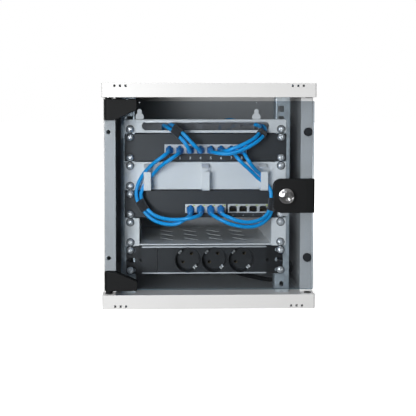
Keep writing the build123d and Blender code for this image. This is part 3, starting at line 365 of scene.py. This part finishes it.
CORD_ROUTES = {
    1: [(-58, -88, 227), (-58, -98, 227), (-62.3, -107, 224.1), (-69.7, -112.2, 219), (-78.5, -110, 212.5),
        (-86.5, -102, 205), (-93, -91, 197.5), (-99.5, -84.5, 188), (-105, -82, 177.5), (-108.3, -82.5,
                                                                                         166.5),
        (-108.3, -85, 156), (-104.6, -88, 145.8), (-98.3, -90, 137.3), (-91.5, -92, 129), (-82.5, -95.5,
                                                                                           121.8),
        (-71, -100.5, 118), (-58.5, -107, 116.7), (-46, -111.8, 118.3), (-36.8, -112.2, 123.5),
        (-28.9, -107, 127.8), (-24.3, -98, 130.3), (-24.3, -88, 130.3)],
    2: [(-42, -88, 225.5), (-42, -98, 225.5), (-46.4, -107, 222.7), (-53.9, -112.2, 217.7), (-62.3, -110,
                                                                                             212),
        (-70.5, -103, 205.5), (-77.5, -94, 197.5), (-84, -86, 189.5), (-90.5, -82, 181.5), (-96.5, -81,
                                                                                            172.5),
        (-101.5, -83.5, 161.5), (-100, -87.5, 151.5), (-94.8, -90.8, 142.8), (-88.3, -93.5, 134.8),
        (-80, -97, 129), (-70, -101.5, 126), (-59.5, -107, 124.7), (-48.5, -113, 125), (-37.5, -117.8, 126.6),
        (-27, -119.6, 128.2), (-17.5, -115.5, 129.9), (-10.8, -108, 131), (-8.4, -98, 131.3), (-8.4, -88,
                                                                                               131.3)],
    3: [(-25.2, -88, 226.8), (-25.2, -98, 226.8), (-27.8, -107, 231.3), (-32.3, -111, 239), (-38.8, -109,
                                                                                             247.2),
        (-46.5, -103, 254.2), (-54.6, -95, 260.2), (-60.8, -85.5, 264.3), (-64.4, -75, 266.3), (-65.8,
                                                                                                -63.5, 266.3),
        (-66.5, -51, 263.8), (-66.8, -39.5, 258.8), (-66.8, -29, 251.5), (-66.5, -20.5, 242), (-66, -14.5,
                                                                                               230.5),
        (-65, -11, 218), (-63.5, -9, 205.5), (-61, -7.5, 193), (-56.5, -6, 181.5), (-49, -4.5, 172.8),
        (-39, -3.2, 168.6), (-27.5, -2, 167.8), (-16, -1, 167.8)],
    4: [(-9.1, -88, 226.8), (-9.1, -98, 226.8), (-12.8, -107, 230.5), (-19.2, -112.2, 236.9), (-26.8, -113,
                                                                                               244.8),
        (-34, -111.7, 252.6), (-41, -108.6, 259.4), (-47.6, -101.6, 264.9), (-52.4, -91.6, 267.8),
        (-55.2, -80, 268.2), (-56.6, -67.8, 267.2), (-57, -54.5, 264.8), (-56.5, -43, 260.6), (-55.5, -31.5,
                                                                                               254.6),
        (-54, -21.5, 246.5), (-52, -13, 236.5), (-50, -5.5, 225), (-48, 1, 213), (-46, 6.5, 200.5),
        (-43.5, 11, 188.5), (-38.5, 14.5, 177.5), (-30, 17, 170.2), (-19.5, 18.8, 167.8), (-8, 20, 167.8)],
    5: [(8.1, -88, 226.5), (8.1, -98, 226.5), (13.2, -107, 225.9), (22.2, -112.5, 224.8), (33.5, -113.6,
                                                                                           224.8),
        (44.5, -114, 227.6), (55.5, -113, 232), (66.5, -110.5, 237.3), (77, -105.5, 243.3), (85.5, -98,
                                                                                             249.8),
        (90.5, -88.5, 256), (92.3, -78, 261.3), (91, -67.5, 264.8), (85, -57.3, 266.2), (75, -49.3, 267.2),
        (63.5, -43, 267.8), (53, -36, 266.8), (44.5, -28.5, 262.8), (39, -20, 254.5), (37, -12, 244),
        (36.5, -4.5, 232.5), (36.5, 2.5, 221), (37, 8, 209.5), (38.5, 12.5, 197.5), (42, 15.5, 186),
        (47.5, 17.5, 176), (56, 18.8, 169.8), (66.3, 20, 167.8),
        (77, 21, 167.8)],
    6: [(24.2, -88, 227), (24.2, -98, 227), (29.1, -107, 228.6), (37.5, -112, 232.2), (48, -112.5, 236.2),
        (58.5, -111, 240.7), (68.5, -107.5, 245.9), (76.5, -101.5, 251.4), (82, -93, 256.9), (84.6, -83,
                                                                                              261.7),
        (84.9, -72.5, 265.1), (80.6, -63.4, 266.5), (72, -57, 268.3), (61, -51.7, 270.6), (48.5, -45.5, 273),
        (37.5, -38.5, 274.6), (30, -29.5, 270.5), (26.5, -21.5, 261.5), (25.5, -15.5, 250.5),
        (25.5, -11.5, 238.5), (26, -9.5, 226), (27.5, -8.5, 213.5), (29.5, -8, 201), (32.5, -7.5, 189),
        (38, -7, 178.3), (46.5, -6.5, 171.2), (57, -6, 167.8), (68, -5.4, 167.8)],
    7: [(40.3, -88, 226), (40.3, -96.5, 226), (43, -104.5, 221.8), (48.5, -108.5, 214.8), (56, -107, 207.5),
        (64, -101.8, 200.5), (72, -95.5, 193), (79.5, -90.3, 185.3), (88, -87.5, 179.8), (95.8, -87.6, 173.8),
        (100.2, -88.8, 164.5), (100, -91, 154.5), (99.5, -93, 145), (97, -94.5, 136), (91.5, -97.5, 128.3),
        (83, -101.5, 123), (72.5, -106, 120.5), (60.5, -110, 120.3), (48.5, -112.2, 122.3),
        (37.3, -112.2, 126.3), (28.8, -107, 129.3), (23.9, -98, 131), (23.9, -88, 131)],
    8: [(56.4, -88, 226), (56.4, -96.5, 226), (58.2, -104.6, 221.6), (62, -108.3, 214.5), (67.5, -106, 207),
        (73.5, -99.5, 200), (80.6, -91, 194.2), (87, -83.5, 187.6), (92.3, -81, 179.3), (98.5, -80.5, 170.5),
        (102.5, -82, 161.5), (103.8, -85, 152), (103.2, -87.5, 142.5), (101, -89.5, 133), (96.5, -93, 124.8),
        (88.8, -97, 118.3), (79, -101, 114), (68, -104.5, 112.3), (55.5, -108.5, 113.2), (43, -111.5, 115.8),
        (31, -113, 119.5), (20.8, -112.2, 124.3), (12.7, -107, 128.2), (8, -98, 130.5), (8, -88, 130.5)],
}
LEAD_ROUTE = [(117.7, -37, 50), (127, -37, 50), (137.2, -34.3, 44.7), (143.1, -29.7, 35.6), (143.1, -24.4,
                                                                                             25.1),
              (137.2, -19.6, 16), (127.2, -15, 9.6), (115, -9.5, 5.8), (102.5, -1, 5.1), (90.5, 9.5, 5.3),
              (78.5, 21, 5.1), (67.5, 34, 5.1), (58.5, 48.5, 5.3), (53.3, 64.5, 5.2), (51.8, 81, 5.1)]
PLUG_ROUTE = [(-10, 139, 19.4), (-23, 136, 19.9), (-36, 131.6, 20.2), (-49, 127.5, 20.2)]
SLEEVES = [
    ((-98.7, -89.5, 143.1), (5.5, -2.4, -8.0), (5.1, -0.9, 3.8), 18.0),
    ((-44.9, -104.5, 257.7), (-6.3, 5.6, 5.3), (3.2, -3.3, 7.3), 18.0),
    ((84.5, -93.7, 254.5), (4.1, 7.8, 4.8), (-6.1, 0.7, 4.1), 12.0),
    ((101.2, -90.1, 144.0), (-1.4, -2.1, -9.7), (-3.9, -5.7, 1.8), 20.0),
]


def cord_curve(name, points, diameter):
    data = bpy.data.curves.new(name, "CURVE")
    data.dimensions = "3D"
    spline = data.splines.new("NURBS")
    spline.points.add(len(points) - 1)
    for target, point in zip(spline.points, points):
        target.co = (*[c * MM for c in point], 1)
    spline.order_u = 3
    spline.use_endpoint_u = True
    data.bevel_depth = diameter / 2 * MM
    data.bevel_resolution = 5
    data.resolution_u = 8
    data.use_fill_caps = True
    return bpy.data.objects.new(name, data)


PANEL_FRONT = -70.0
PORT_CAVITY_Z = {"patch": 227.3, "switch": 133.8}
PATCH_PORTS = [(port - 4.5) * 16.13 for port in range(1, 9)]
SWITCH_PORTS = [centre + (port - 1.5) * 15.9 for centre in (0.05, 67.15) for port in range(4)]
BOOT_LENGTH = 17.3
BOOT_COLLAR = 5.0


def plug_shape(shape, move, lean=0.0, drop=0.0):
    """Moulded boot with slits and latch guard; move places a local point.

    Local: the cord leaves at the origin towards -Y, the plug points to +Y.
    """
    def bent(x, y, z):
        share = min(1.0, max(0.0, (BOOT_LENGTH - y) / (BOOT_LENGTH - BOOT_COLLAR)))
        return move(x + lean * share, y, z - drop * share)

    profile = [(0.0, 3.3, 3.3, 3.3), (0.5, 3.9, 3.9, 3.8), (1.0, 4.1, 4.1, 3.9)]
    for step in range(4):
        y = 1.6 + step * 1.5
        grow = 0.1 * step
        profile += [(y, 3.5 + grow, 3.5 + grow, 3.3), (y + 0.7, 3.5 + grow, 3.5 + grow, 3.3),
                    (y + 0.8, 4.15 + grow, 4.15 + grow, 3.6), (y + 1.4, 4.2 + grow, 4.2 + grow, 3.5)]
    profile += [(8.6, 4.8, 4.4, 2.8), (12.0, 5.4, 4.5, 2.2), (16.4, 5.8, 4.5, 1.6), (17.0, 5.75, 4.45, 1.5),
                (17.3, 5.4, 4.1, 1.3)]
    shape.add([[bent(x, y, z) for x, z in reversed(rounded_ring(w, h, r, 4))] for y, w, h, r in profile])
    guard = [(7.6, 0.9, 3.2, 4.2), (9.2, 1.6, 3.2, 5.0), (12.0, 2.1, 3.2, 6.6), (15.0, 2.2, 3.2, 7.3),
             (16.8, 2.2, 3.2, 7.4), (17.2, 2.0, 3.2, 7.1)]
    rings = []
    for y, half, low, high in guard:
        rings.append([bent(x, y, (low + high) / 2 + z)
                      for x, z in reversed(rounded_ring(half, (high - low) / 2, 0.7, 3))])
    shape.add(rings)


def body_shape(shape, move):
    """Clear plug body, a plain rounded block."""
    rings = []
    for y, w, h in ((17.0, 5.7, 3.2), (17.4, 5.8, 3.3), (29.0, 5.8, 3.3), (29.5, 5.5, 3.0)):
        rings.append([move(x, y, z) for x, z in reversed(rounded_ring(w, h, 0.5, 2))])
    shape.add(rings)


def plug_object(name, moves):
    """One object from several boots: each entry is a placing function with its lean and drop."""
    shape = Shape()
    for move, lean, drop in moves:
        plug_shape(shape, move, lean, drop)
    return mesh_object(name, shape.verts, shape.faces)


def shift(dx, dy, dz):
    return lambda x, y, z: (x + dx, y + dy, z + dz)


def aimed(end, before):
    """Placing for a loose plug: its tip at the cord's end, pointing onwards."""
    turn = math.atan2(end[1] - before[1], end[0] - before[0]) - math.pi / 2
    c, s = math.cos(turn), math.sin(turn)
    return lambda x, y, z: (end[0] + c * x - s * y, end[1] + s * x + c * y, end[2] + z)


BOOT_TIP = PANEL_FRONT - 18.0
plug_finish = surface("clear_plug", (0.55, 0.60, 0.64), 0.15, grain=900, bump=0.01, Alpha=0.55)
patch_boots = []
switch_boots = []
bodies = Shape()
for cord in range(1, 9):
    tip = CORD_ROUTES[cord][0]
    x = PATCH_PORTS[cord - 1]
    z = PORT_CAVITY_Z["patch"]
    patch_boots.append((shift(x, BOOT_TIP, z), tip[0] - x, z - tip[2]))
    body_shape(bodies, shift(x, BOOT_TIP, z))
for cord, port in ((1, 1), (2, 2), (8, 3), (7, 4)):
    tip = CORD_ROUTES[cord][-1]
    x = SWITCH_PORTS[port - 1]
    z = PORT_CAVITY_Z["switch"]
    switch_boots.append((shift(x, BOOT_TIP, z), tip[0] - x, z - tip[2]))
    body_shape(bodies, shift(x, BOOT_TIP, z))
boots = place(plug_object("patch_panel_boots", patch_boots), "blue_boot")
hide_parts("seated_plugs")
place(plug_object("switch_boots", switch_boots), "blue_boot")
place(mesh_object("plug_bodies", bodies.verts, bodies.faces, False), "blue_boot", finish=plug_finish)

CORD_D = 5.8
for cord in range(1, 9):
    route = CORD_ROUTES[cord]
    jacket = place(cord_curve(f"patch_cord_{cord}_jacket", route, CORD_D), "blue_jacket")
    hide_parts(f"patch_cord_{cord}")
    if cord in (3, 4, 5, 6):
        move = aimed(route[-1], route[-2])
        loose = place(plug_object(f"loose_boot_{cord}", [(move, 0.0, 0.0)]), "blue_boot")
        inner = Shape()
        body_shape(inner, move)
        clear = place(mesh_object(f"loose_plug_{cord}", inner.verts, inner.faces, False), "blue_boot",
                      finish=plug_finish)
        if cord == 3:
            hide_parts("loose_plugs")

# Mains lead: the free run, the coil's turns and the run to the plug are one line.
LEAD_D = 7.0
COIL_CENTRE = (8.0, 98.0)
COIL_CELLS = [(44.4, 5.1), (37.4, 5.1), (37.4, 12.2), (44.4, 12.2), (37.4, 19.3), (44.4, 19.3)]
# share of the turn over which each turn moves to the next one's place, later turns earlier
COIL_MOVES = [(0.89, 1.0), (0.78, 0.89), (0.67, 0.78), (0.49, 0.67), (0.38, 0.49), (2.0, 2.1)]
COIL_STEPS = 18
COIL_START = math.atan2(81 - COIL_CENTRE[1], 51.8 - COIL_CENTRE[0])


def coil_points():
    """Turns laid beside and on each other; the last one stops where the run to the plug leaves."""
    points = []
    total = int((5 + 0.33) * COIL_STEPS)
    for step in range(1, total + 1):
        turn, share = divmod(step / COIL_STEPS, 1.0)
        turn = min(int(turn), 5)
        begin, end = COIL_MOVES[turn]
        moved = min(1.0, max(0.0, (share - begin) / (end - begin)))
        if turn and share < 0.001:
            moved = 0.0
        (r0, z0), (r1, z1) = COIL_CELLS[turn], COIL_CELLS[min(turn + 1, 5)]
        if turn == 3:
            z = z0 + (z1 - z0) * min(1.0, 2 * moved)
            r = r0 + (r1 - r0) * max(0.0, 2 * moved - 1)
        else:
            z = z0 + (z1 - z0) * moved
            r = r0 + (r1 - r0) * moved
        angle = COIL_START + 2 * math.pi * step / COIL_STEPS
        points.append((COIL_CENTRE[0] + r * math.cos(angle), COIL_CENTRE[1] + r * math.sin(angle), z))
    return points


mains = place(cord_curve("mains_lead_jacket", LEAD_ROUTE + coil_points() + PLUG_ROUTE, LEAD_D), "lead_jacket")
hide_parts("mains_lead", "mains_coil")

# ---------------------------------------------------------------- sleeves on the cords


def sleeve(name, centre, along, across, length, seed):
    """Wrapped loop tape: a flattened tube with a second, shorter layer and an uneven free edge."""
    rng = random.Random(seed)
    along = Vector(along).normalized()
    across = Vector(across)
    gap = across.length
    across = (across - along * across.dot(along)).normalized()
    up = along.cross(across)
    centre = Vector(centre)
    shape = Shape()

    def ring(t, radius, wobble):
        points = []
        for side in (1, -1):
            for step in range(9):
                turn = math.radians(-90 + 180 * step / 8) + (0 if side == 1 else math.pi)
                u = side * gap / 2 + radius * math.cos(turn)
                v = radius * math.sin(turn)
                p = centre + along * (t + wobble * math.sin(2.3 * turn + seed)) + across * u + up * v
                points.append(tuple(p))
        return points

    half = length / 2
    outer = CORD_D / 2 + 1.0
    inner = CORD_D / 2 + 0.25
    rings = [ring(-half + 0.3, inner, 0.2), ring(-half, outer - 0.25, 0.2)]
    for step in range(9):
        t = -half + 0.4 + (length - 0.8) * step / 8
        rings.append(ring(t, outer + rng.uniform(-0.06, 0.10), 0.15))
    rings += [ring(half, outer - 0.25, 0.2), ring(half - 0.3, inner, 0.2)]
    shape.add(rings, cap=False)
    # the wrap's last layer covers one face and ends in a free edge
    flap = []
    for row in range(6):
        t = -half + 1.0 + (length - 2.0) * row / 5
        line = []
        for step in range(7):
            u = -gap / 2 + (gap + 1.2) * step / 6
            lift = outer + 0.12 + (0.35 if step == 6 else 0.0) + rng.uniform(0, 0.05)
            line.append(tuple(centre + along * (t + rng.uniform(-0.2, 0.2)) + across * u + up * lift))
        flap.append(line)
    first = len(shape.verts)
    for line in flap:
        shape.verts += line
    for row in range(5):
        for step in range(6):
            a = first + row * 7 + step
            shape.faces.append((a, a + 1, a + 8, a + 7))
    piece = mesh_object(name, shape.verts, shape.faces)
    thick = piece.modifiers.new("thickness", "SOLIDIFY")
    thick.thickness = 0.35 * MM
    thick.offset = -1
    return piece


for number, values in enumerate(SLEEVES):
    wrap = place(sleeve(f"cord_sleeve_{number + 1}", *values, seed=number + 3), "textile")
    if number == 0:
        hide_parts("cord_sleeves")

# ---------------------------------------------------------------- brush


def near(route, y):
    """Where a route crosses a plane of constant y, as x and z."""
    for a, b in zip(route, route[1:]):
        if (a[1] - y) * (b[1] - y) <= 0 and a[1] != b[1]:
            t = (y - a[1]) / (b[1] - a[1])
            return a[0] + t * (b[0] - a[0]), a[2] + t * (b[2] - a[2])


def brush():
    """Rows of hair that hang from the holder and part round the cords."""
    crossings = [near(CORD_ROUTES[cord], -63.0) for cord in (3, 4, 5, 6)]
    crossings = [c for c in crossings if c]
    rng = random.Random(5)
    shape = Shape()
    top, low = 272.5, 255.9
    for row, y in enumerate((-63.65, -63.3, -62.9, -62.4)):
        count = 410
        for k in range(count):
            x0 = -102.6 + 205.2 * (k + rng.uniform(-0.3, 0.3)) / (count - 1)
            x0 = max(-102.7, min(102.7, x0))
            tip = low + rng.uniform(0, 1.2)
            lean = rng.gauss(0, 0.5) + (rng.uniform(-3, 3) if rng.random() < 0.06 else 0)
            radius = rng.uniform(0.10, 0.16)
            line = []
            for share in (0.0, 0.33, 0.66, 1.0):
                z = top + (tip - top) * share
                x = x0 + lean * share
                for cx, cz in crossings:
                    away = x - cx
                    spread = 3.3 if z < cz + 3.5 else 3.3 * max(0.0, 1 - (z - cz - 3.5) / 5)
                    if abs(away) < spread:
                        x = cx + math.copysign(spread + 0.25 * abs(away), away)
                x = max(-102.8, min(102.8, x))
                line.append((x, y + rng.uniform(-0.08, 0.08) * share, z))
            rings = []
            for x, yy, z in line:
                rings.append([(x + radius * math.cos(a), yy + radius * math.sin(a), z) for a in (0.5, 2.6,
                                                                                                 4.7)])
            shape.add(rings)
    return mesh_object("brush_hair", shape.verts, shape.faces)


hair = place(brush(), "bristles")
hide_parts("brush_bristles")

# ---------------------------------------------------------------- marks, lights and contacts


def text(name, body, x, z, size, slot, finish, y=PANEL_FRONT - 0.06):
    data = bpy.data.curves.new(name, "FONT")
    data.body = body
    data.align_x = "CENTER"
    data.align_y = "CENTER"
    data.size = size * MM
    data.extrude = 0.04 * MM
    data.offset = 0.03 * size * MM
    obj = bpy.data.objects.new(name, data)
    obj.location = (x * MM, y * MM, z * MM)
    obj.rotation_euler = (math.pi / 2, 0, 0)
    return place(obj, slot, finish=finish)


ink = surface("print_white", (0.80, 0.81, 0.82), 0.6, grain=3000, bump=0.004, spread=0.03, round_edge=0.01)
faint_ink = surface("print_grey", (0.42, 0.44, 0.46), 0.6, grain=3000, bump=0.004, spread=0.03,
                    round_edge=0.01)
for number in range(8):
    text(f"patch_number_{number + 1}", str(number + 1), PATCH_PORTS[number], 214.9, 5.4, "white_plastic", ink)
    text(f"switch_number_{number + 1}", str(number + 1), SWITCH_PORTS[number], 124.7, 2.9, "white_plastic",
         faint_ink)

light_white = surface("light_white", (0.75, 0.76, 0.66), 0.3, grain=1500, bump=0.01, Emission_Strength=0.0)
light_green = surface("light_green", (0.50, 0.62, 0.10), 0.3, grain=1500, bump=0.01)
for side, finish, name in ((-1, light_white, "link_lights"), (1, light_green, "speed_lights")):
    lens = Shape()
    for x in SWITCH_PORTS:
        cx = x + side * 5.75
        rings = [[(cx + u, y, 140.5 + v) for u, v in reversed(rounded_ring(w, h, 0.3, 2))]
                 for y, w, h in ((PANEL_FRONT - 0.5, 1.45, 1.0), (PANEL_FRONT - 0.75, 1.45, 1.0),
                                 (PANEL_FRONT - 0.9, 1.2, 0.75))]
        lens.add([list(reversed(r)) for r in rings])
    place(mesh_object(name, lens.verts, lens.faces, False), "white_plastic", finish=finish)

throats = Shape()
for x in SWITCH_PORTS:
    for low, high in (((x - 5.95, -69.9, 130.35), (x - 5.65, -56.2, 137.2)),
                      ((x + 5.65, -69.9, 130.35), (x + 5.95, -56.2, 137.2)),
                      ((x - 5.6, -69.9, 130.35), (x + 5.6, -56.2, 130.6)),
                      ((x - 5.6, -57.0, 130.7), (x + 5.6, -56.2, 137.2))):
        throats.box(low, high)
place(mesh_object("jack_throats", throats.verts, throats.faces, False), "black_plastic")

gold = surface("contact_gold", (0.78, 0.56, 0.22), 0.22, 1.0, grain=900, bump=0.004)
wires = Shape()
PIN_PITCH = 1.02
PIN_HALF = (0.2, 0.15)  # half width and half thickness of a contact wire
PIN_COURSE = [(-68.6, 131.1), (-66.5, 131.3), (-60.5, 133.9), (-57.5, 134.6)]
for x in SWITCH_PORTS[4:]:
    for pin in range(8):
        px = x + (pin - 3.5) * PIN_PITCH
        wide, thick = PIN_HALF
        wires.add([[(px - wide, y, z - thick), (px + wide, y, z - thick), (px + wide, y, z + thick),
                    (px - wide, y, z + thick)] for y, z in reversed(PIN_COURSE)])
place(mesh_object("jack_contacts", wires.verts, wires.faces, False), "spring_metal", finish=gold)

# ---------------------------------------------------------------- socket strip


def turned(profile, x, z, steps=72):
    """Solid of revolution about a line along Y through x and z; the profile holds radius and y."""
    shape = Shape()
    rings = [[(x + r * math.cos(2 * math.pi * k / steps), y, z + r * math.sin(2 * math.pi * k / steps))
              for k in range(steps)] for r, y in profile]
    shape.add(rings + [rings[0]], cap=False)
    return shape


SOCKET_X = (-28.1, 14.1, 56.3)
SOCKET_Z = (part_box("pdu_left_socket")[0][2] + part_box("pdu_left_socket")[1][2]) / 2 / MM
rims = Shape()
for x in SOCKET_X:
    for profile in ([(19.25, -70.0), (19.25, -70.5), (19.5, -70.8), (20.0, -70.8), (20.3, -70.4), (20.4, -70.0)],
                    [(19.28, -53.2), (18.2, -53.2), (17.9, -54.0), (18.2, -54.6), (19.28, -54.6)]):
        ring = turned(profile, x, SOCKET_Z)
        first = len(rims.verts)
        rims.verts += ring.verts
        rims.faces += [tuple(first + k for k in face) for face in ring.faces]
place(mesh_object("socket_rims", rims.verts, rims.faces), "black_plastic")

CLIP_TURN = math.radians(-45)
CLIP_COURSE = [(18.9, -54.0), (18.8, -59.5), (16.6, -61.8), (15.0, -64.2), (15.2, -66.0), (17.6, -67.6),
               (18.6, -67.9)]  # distance from the socket's centre, and y
clips = Shape()
tubes = Shape()
for x in SOCKET_X:
    for side in (-1, 1):
        c, s = math.cos(CLIP_TURN) * side, math.sin(CLIP_TURN) * side
        rings, other = [], []
        for r, y in CLIP_COURSE:
            half = 3.2 if y < -61.0 else 2.6
            for first, last, finger in ((-half, -0.45, rings), (0.45, half, other)):
                line = [(r + 0.35, first), (r + 0.35, last), (r - 0.35, last), (r - 0.35, first)]
                finger.append([(x + c * u - s * v, y, SOCKET_Z + s * u + c * v) for u, v in line])
        clips.add(rings)
        clips.add(other)
        offset = side * 9.5 * math.cos(math.pi / 4)
        ring = turned([(2.75, -52.0), (2.2, -52.0), (2.2, -44.0), (2.75, -44.0)], x + offset,
                      SOCKET_Z + offset, 24)
        first = len(tubes.verts)
        tubes.verts += ring.verts
        tubes.faces += [tuple(first + k for k in face) for face in ring.faces]
bright = surface("clip_metal", (0.88, 0.88, 0.86), 0.34, 0.35, grain=900, bump=0.006, spread=0.05)
earth = place(mesh_object("earth_clips", clips.verts, clips.faces), "spring_metal", finish=bright)
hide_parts("pdu_earth_clips")
# Brass contact tubes, darkened as painted shade for the deep socket holes.
hole_shade_brass = surface("brass_painted_hole_shade", (0.10, 0.075, 0.04), 0.5, 0.6, grain=900, bump=0.006, spread=0.05)
place(mesh_object("socket_contacts", tubes.verts, tubes.faces), "spring_metal", finish=hole_shade_brass)

# ---------------------------------------------------------------- door details

screws = Shape()
for low, high, sign in ((25.3, 52.9, -1), (276.0, 307.0, 1)):
    for x in (-133.0, -115.0):
        z = (low + high) / 2 + 4 * sign
        rings = []
        for y, r in ((-136.95, 2.55), (-134.2, 2.55), (-134.0, 2.35), (-134.0, 1.3), (-135.6, 1.25)):
            corners = 24
            rings.append([(x + r * math.cos(2 * math.pi * k / corners), y,
                           z + r * math.sin(2 * math.pi * k / corners))
                          for k in reversed(range(corners))])
        screws.add([list(reversed(r)) for r in rings])
place(mesh_object("clamp_screws", screws.verts, screws.faces), "zinc", body="door")

glass = frame["nodes"]["door_glass"]
glass.visible_shadow = False

# ---------------------------------------------------------------- stage and light

SKY_LIGHT = 0.7


def pale_floor():
    """White studio floor; it glows more the further it lies from the object, so that it meets the background."""
    mat = bpy.data.materials.new("studio_floor")
    mat.use_nodes = True
    tree = mat.node_tree
    shader = tree.nodes["Principled BSDF"]
    shader.inputs["Base Color"].default_value = (0.85, 0.85, 0.85, 1)
    shader.inputs["Roughness"].default_value = 0.5
    shader.inputs["Emission Color"].default_value = (1, 1, 1, 1)
    coords = node(tree, "ShaderNodeTexCoord")
    length = node(tree, "ShaderNodeVectorMath", operation="LENGTH")
    link(tree, coords.outputs["Object"], length.inputs[0])
    glow = node(tree, "ShaderNodeMapRange", interpolation_type="SMOOTHSTEP")
    glow.inputs["From Min"].default_value = 0.25
    glow.inputs["From Max"].default_value = 1.1
    glow.inputs["To Min"].default_value = 0.52
    glow.inputs["To Max"].default_value = 1.0
    link(tree, length.outputs["Value"], glow.inputs["Value"])
    link(tree, glow.outputs["Result"], shader.inputs["Emission Strength"])
    return mat


floor_mesh = bpy.data.meshes.new("floor")
floor_mesh.from_pydata([(-9, -9, 0), (9, -9, 0), (9, 9, 0), (-9, 9, 0)], [], [(0, 1, 2, 3)])
floor = bpy.data.objects.new("floor", floor_mesh)
bpy.context.collection.objects.link(floor)
floor.location.z = -0.0002
floor.visible_glossy = False
floor.visible_diffuse = False
floor.data.materials.append(pale_floor())
floor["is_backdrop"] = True

def studio_world():
    """White to the camera; as a light, a studio with a bright ceiling and dim walls."""
    world = bpy.data.worlds.new("studio")
    world.use_nodes = True
    sky = world.node_tree
    seen = sky.nodes["Background"]
    seen.inputs["Color"].default_value = (1, 1, 1, 1)
    coords = node(sky, "ShaderNodeTexCoord")
    split = node(sky, "ShaderNodeSeparateXYZ")
    link(sky, coords.outputs["Generated"], split.inputs["Vector"])
    height = node(sky, "ShaderNodeMapRange")
    height.inputs["From Min"].default_value = -1.0
    link(sky, split.outputs["Z"], height.inputs["Value"])
    ramp = node(sky, "ShaderNodeValToRGB")
    link(sky, height.outputs["Result"], ramp.inputs["Fac"])
    stops = ramp.color_ramp.elements
    for place_, value in ((0.36, 0.10), (0.58, 0.07), (0.78, 0.42)):
        stops.new(place_).color = (value, value, value, 1)
    for stop in stops:
        if stop.position == 0.0:
            stop.color = (0.30, 0.30, 0.30, 1)
        if stop.position == 1.0:
            stop.color = (0.75, 0.75, 0.75, 1)
    lit = node(sky, "ShaderNodeBackground", Strength=SKY_LIGHT)
    link(sky, ramp.outputs["Color"], lit.inputs["Color"])
    choose = node(sky, "ShaderNodeMixShader")
    link(sky, node(sky, "ShaderNodeLightPath").outputs["Is Camera Ray"], choose.inputs[0])
    link(sky, lit.outputs[0], choose.inputs[1])
    link(sky, seen.outputs[0], choose.inputs[2])
    link(sky, choose.outputs[0], sky.nodes["World Output"].inputs["Surface"])
    return world


bpy.context.scene.world = studio_world()


def area(name, location, target, size, power):
    light = bpy.data.objects.new(name, bpy.data.lights.new(name, "AREA"))
    bpy.context.collection.objects.link(light)
    light.data.shape = "RECTANGLE"
    light.data.size, light.data.size_y = size
    light.data.energy = power
    light.location = location
    heading = Vector(target) - Vector(location)
    light.rotation_euler = heading.to_track_quat("-Z", "Y").to_euler()
    return light


area("key", (-0.60, -1.75, 0.26), (0.0, -0.1, 0.2), (0.56, 0.6), 42)
area("high", (-0.5, -1.3, 1.5), (0, 0, 0.1), (0.9, 0.9), 13)
area("back left", (-1.3, 1.5, 1.1), (0, 0.1, 0.15), (1.0, 1.0), 26)
area("back right", (1.4, 1.2, 0.9), (0, 0.1, 0.15), (1.0, 1.0), 22)

# ---------------------------------------------------------------- sizes

low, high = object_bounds()
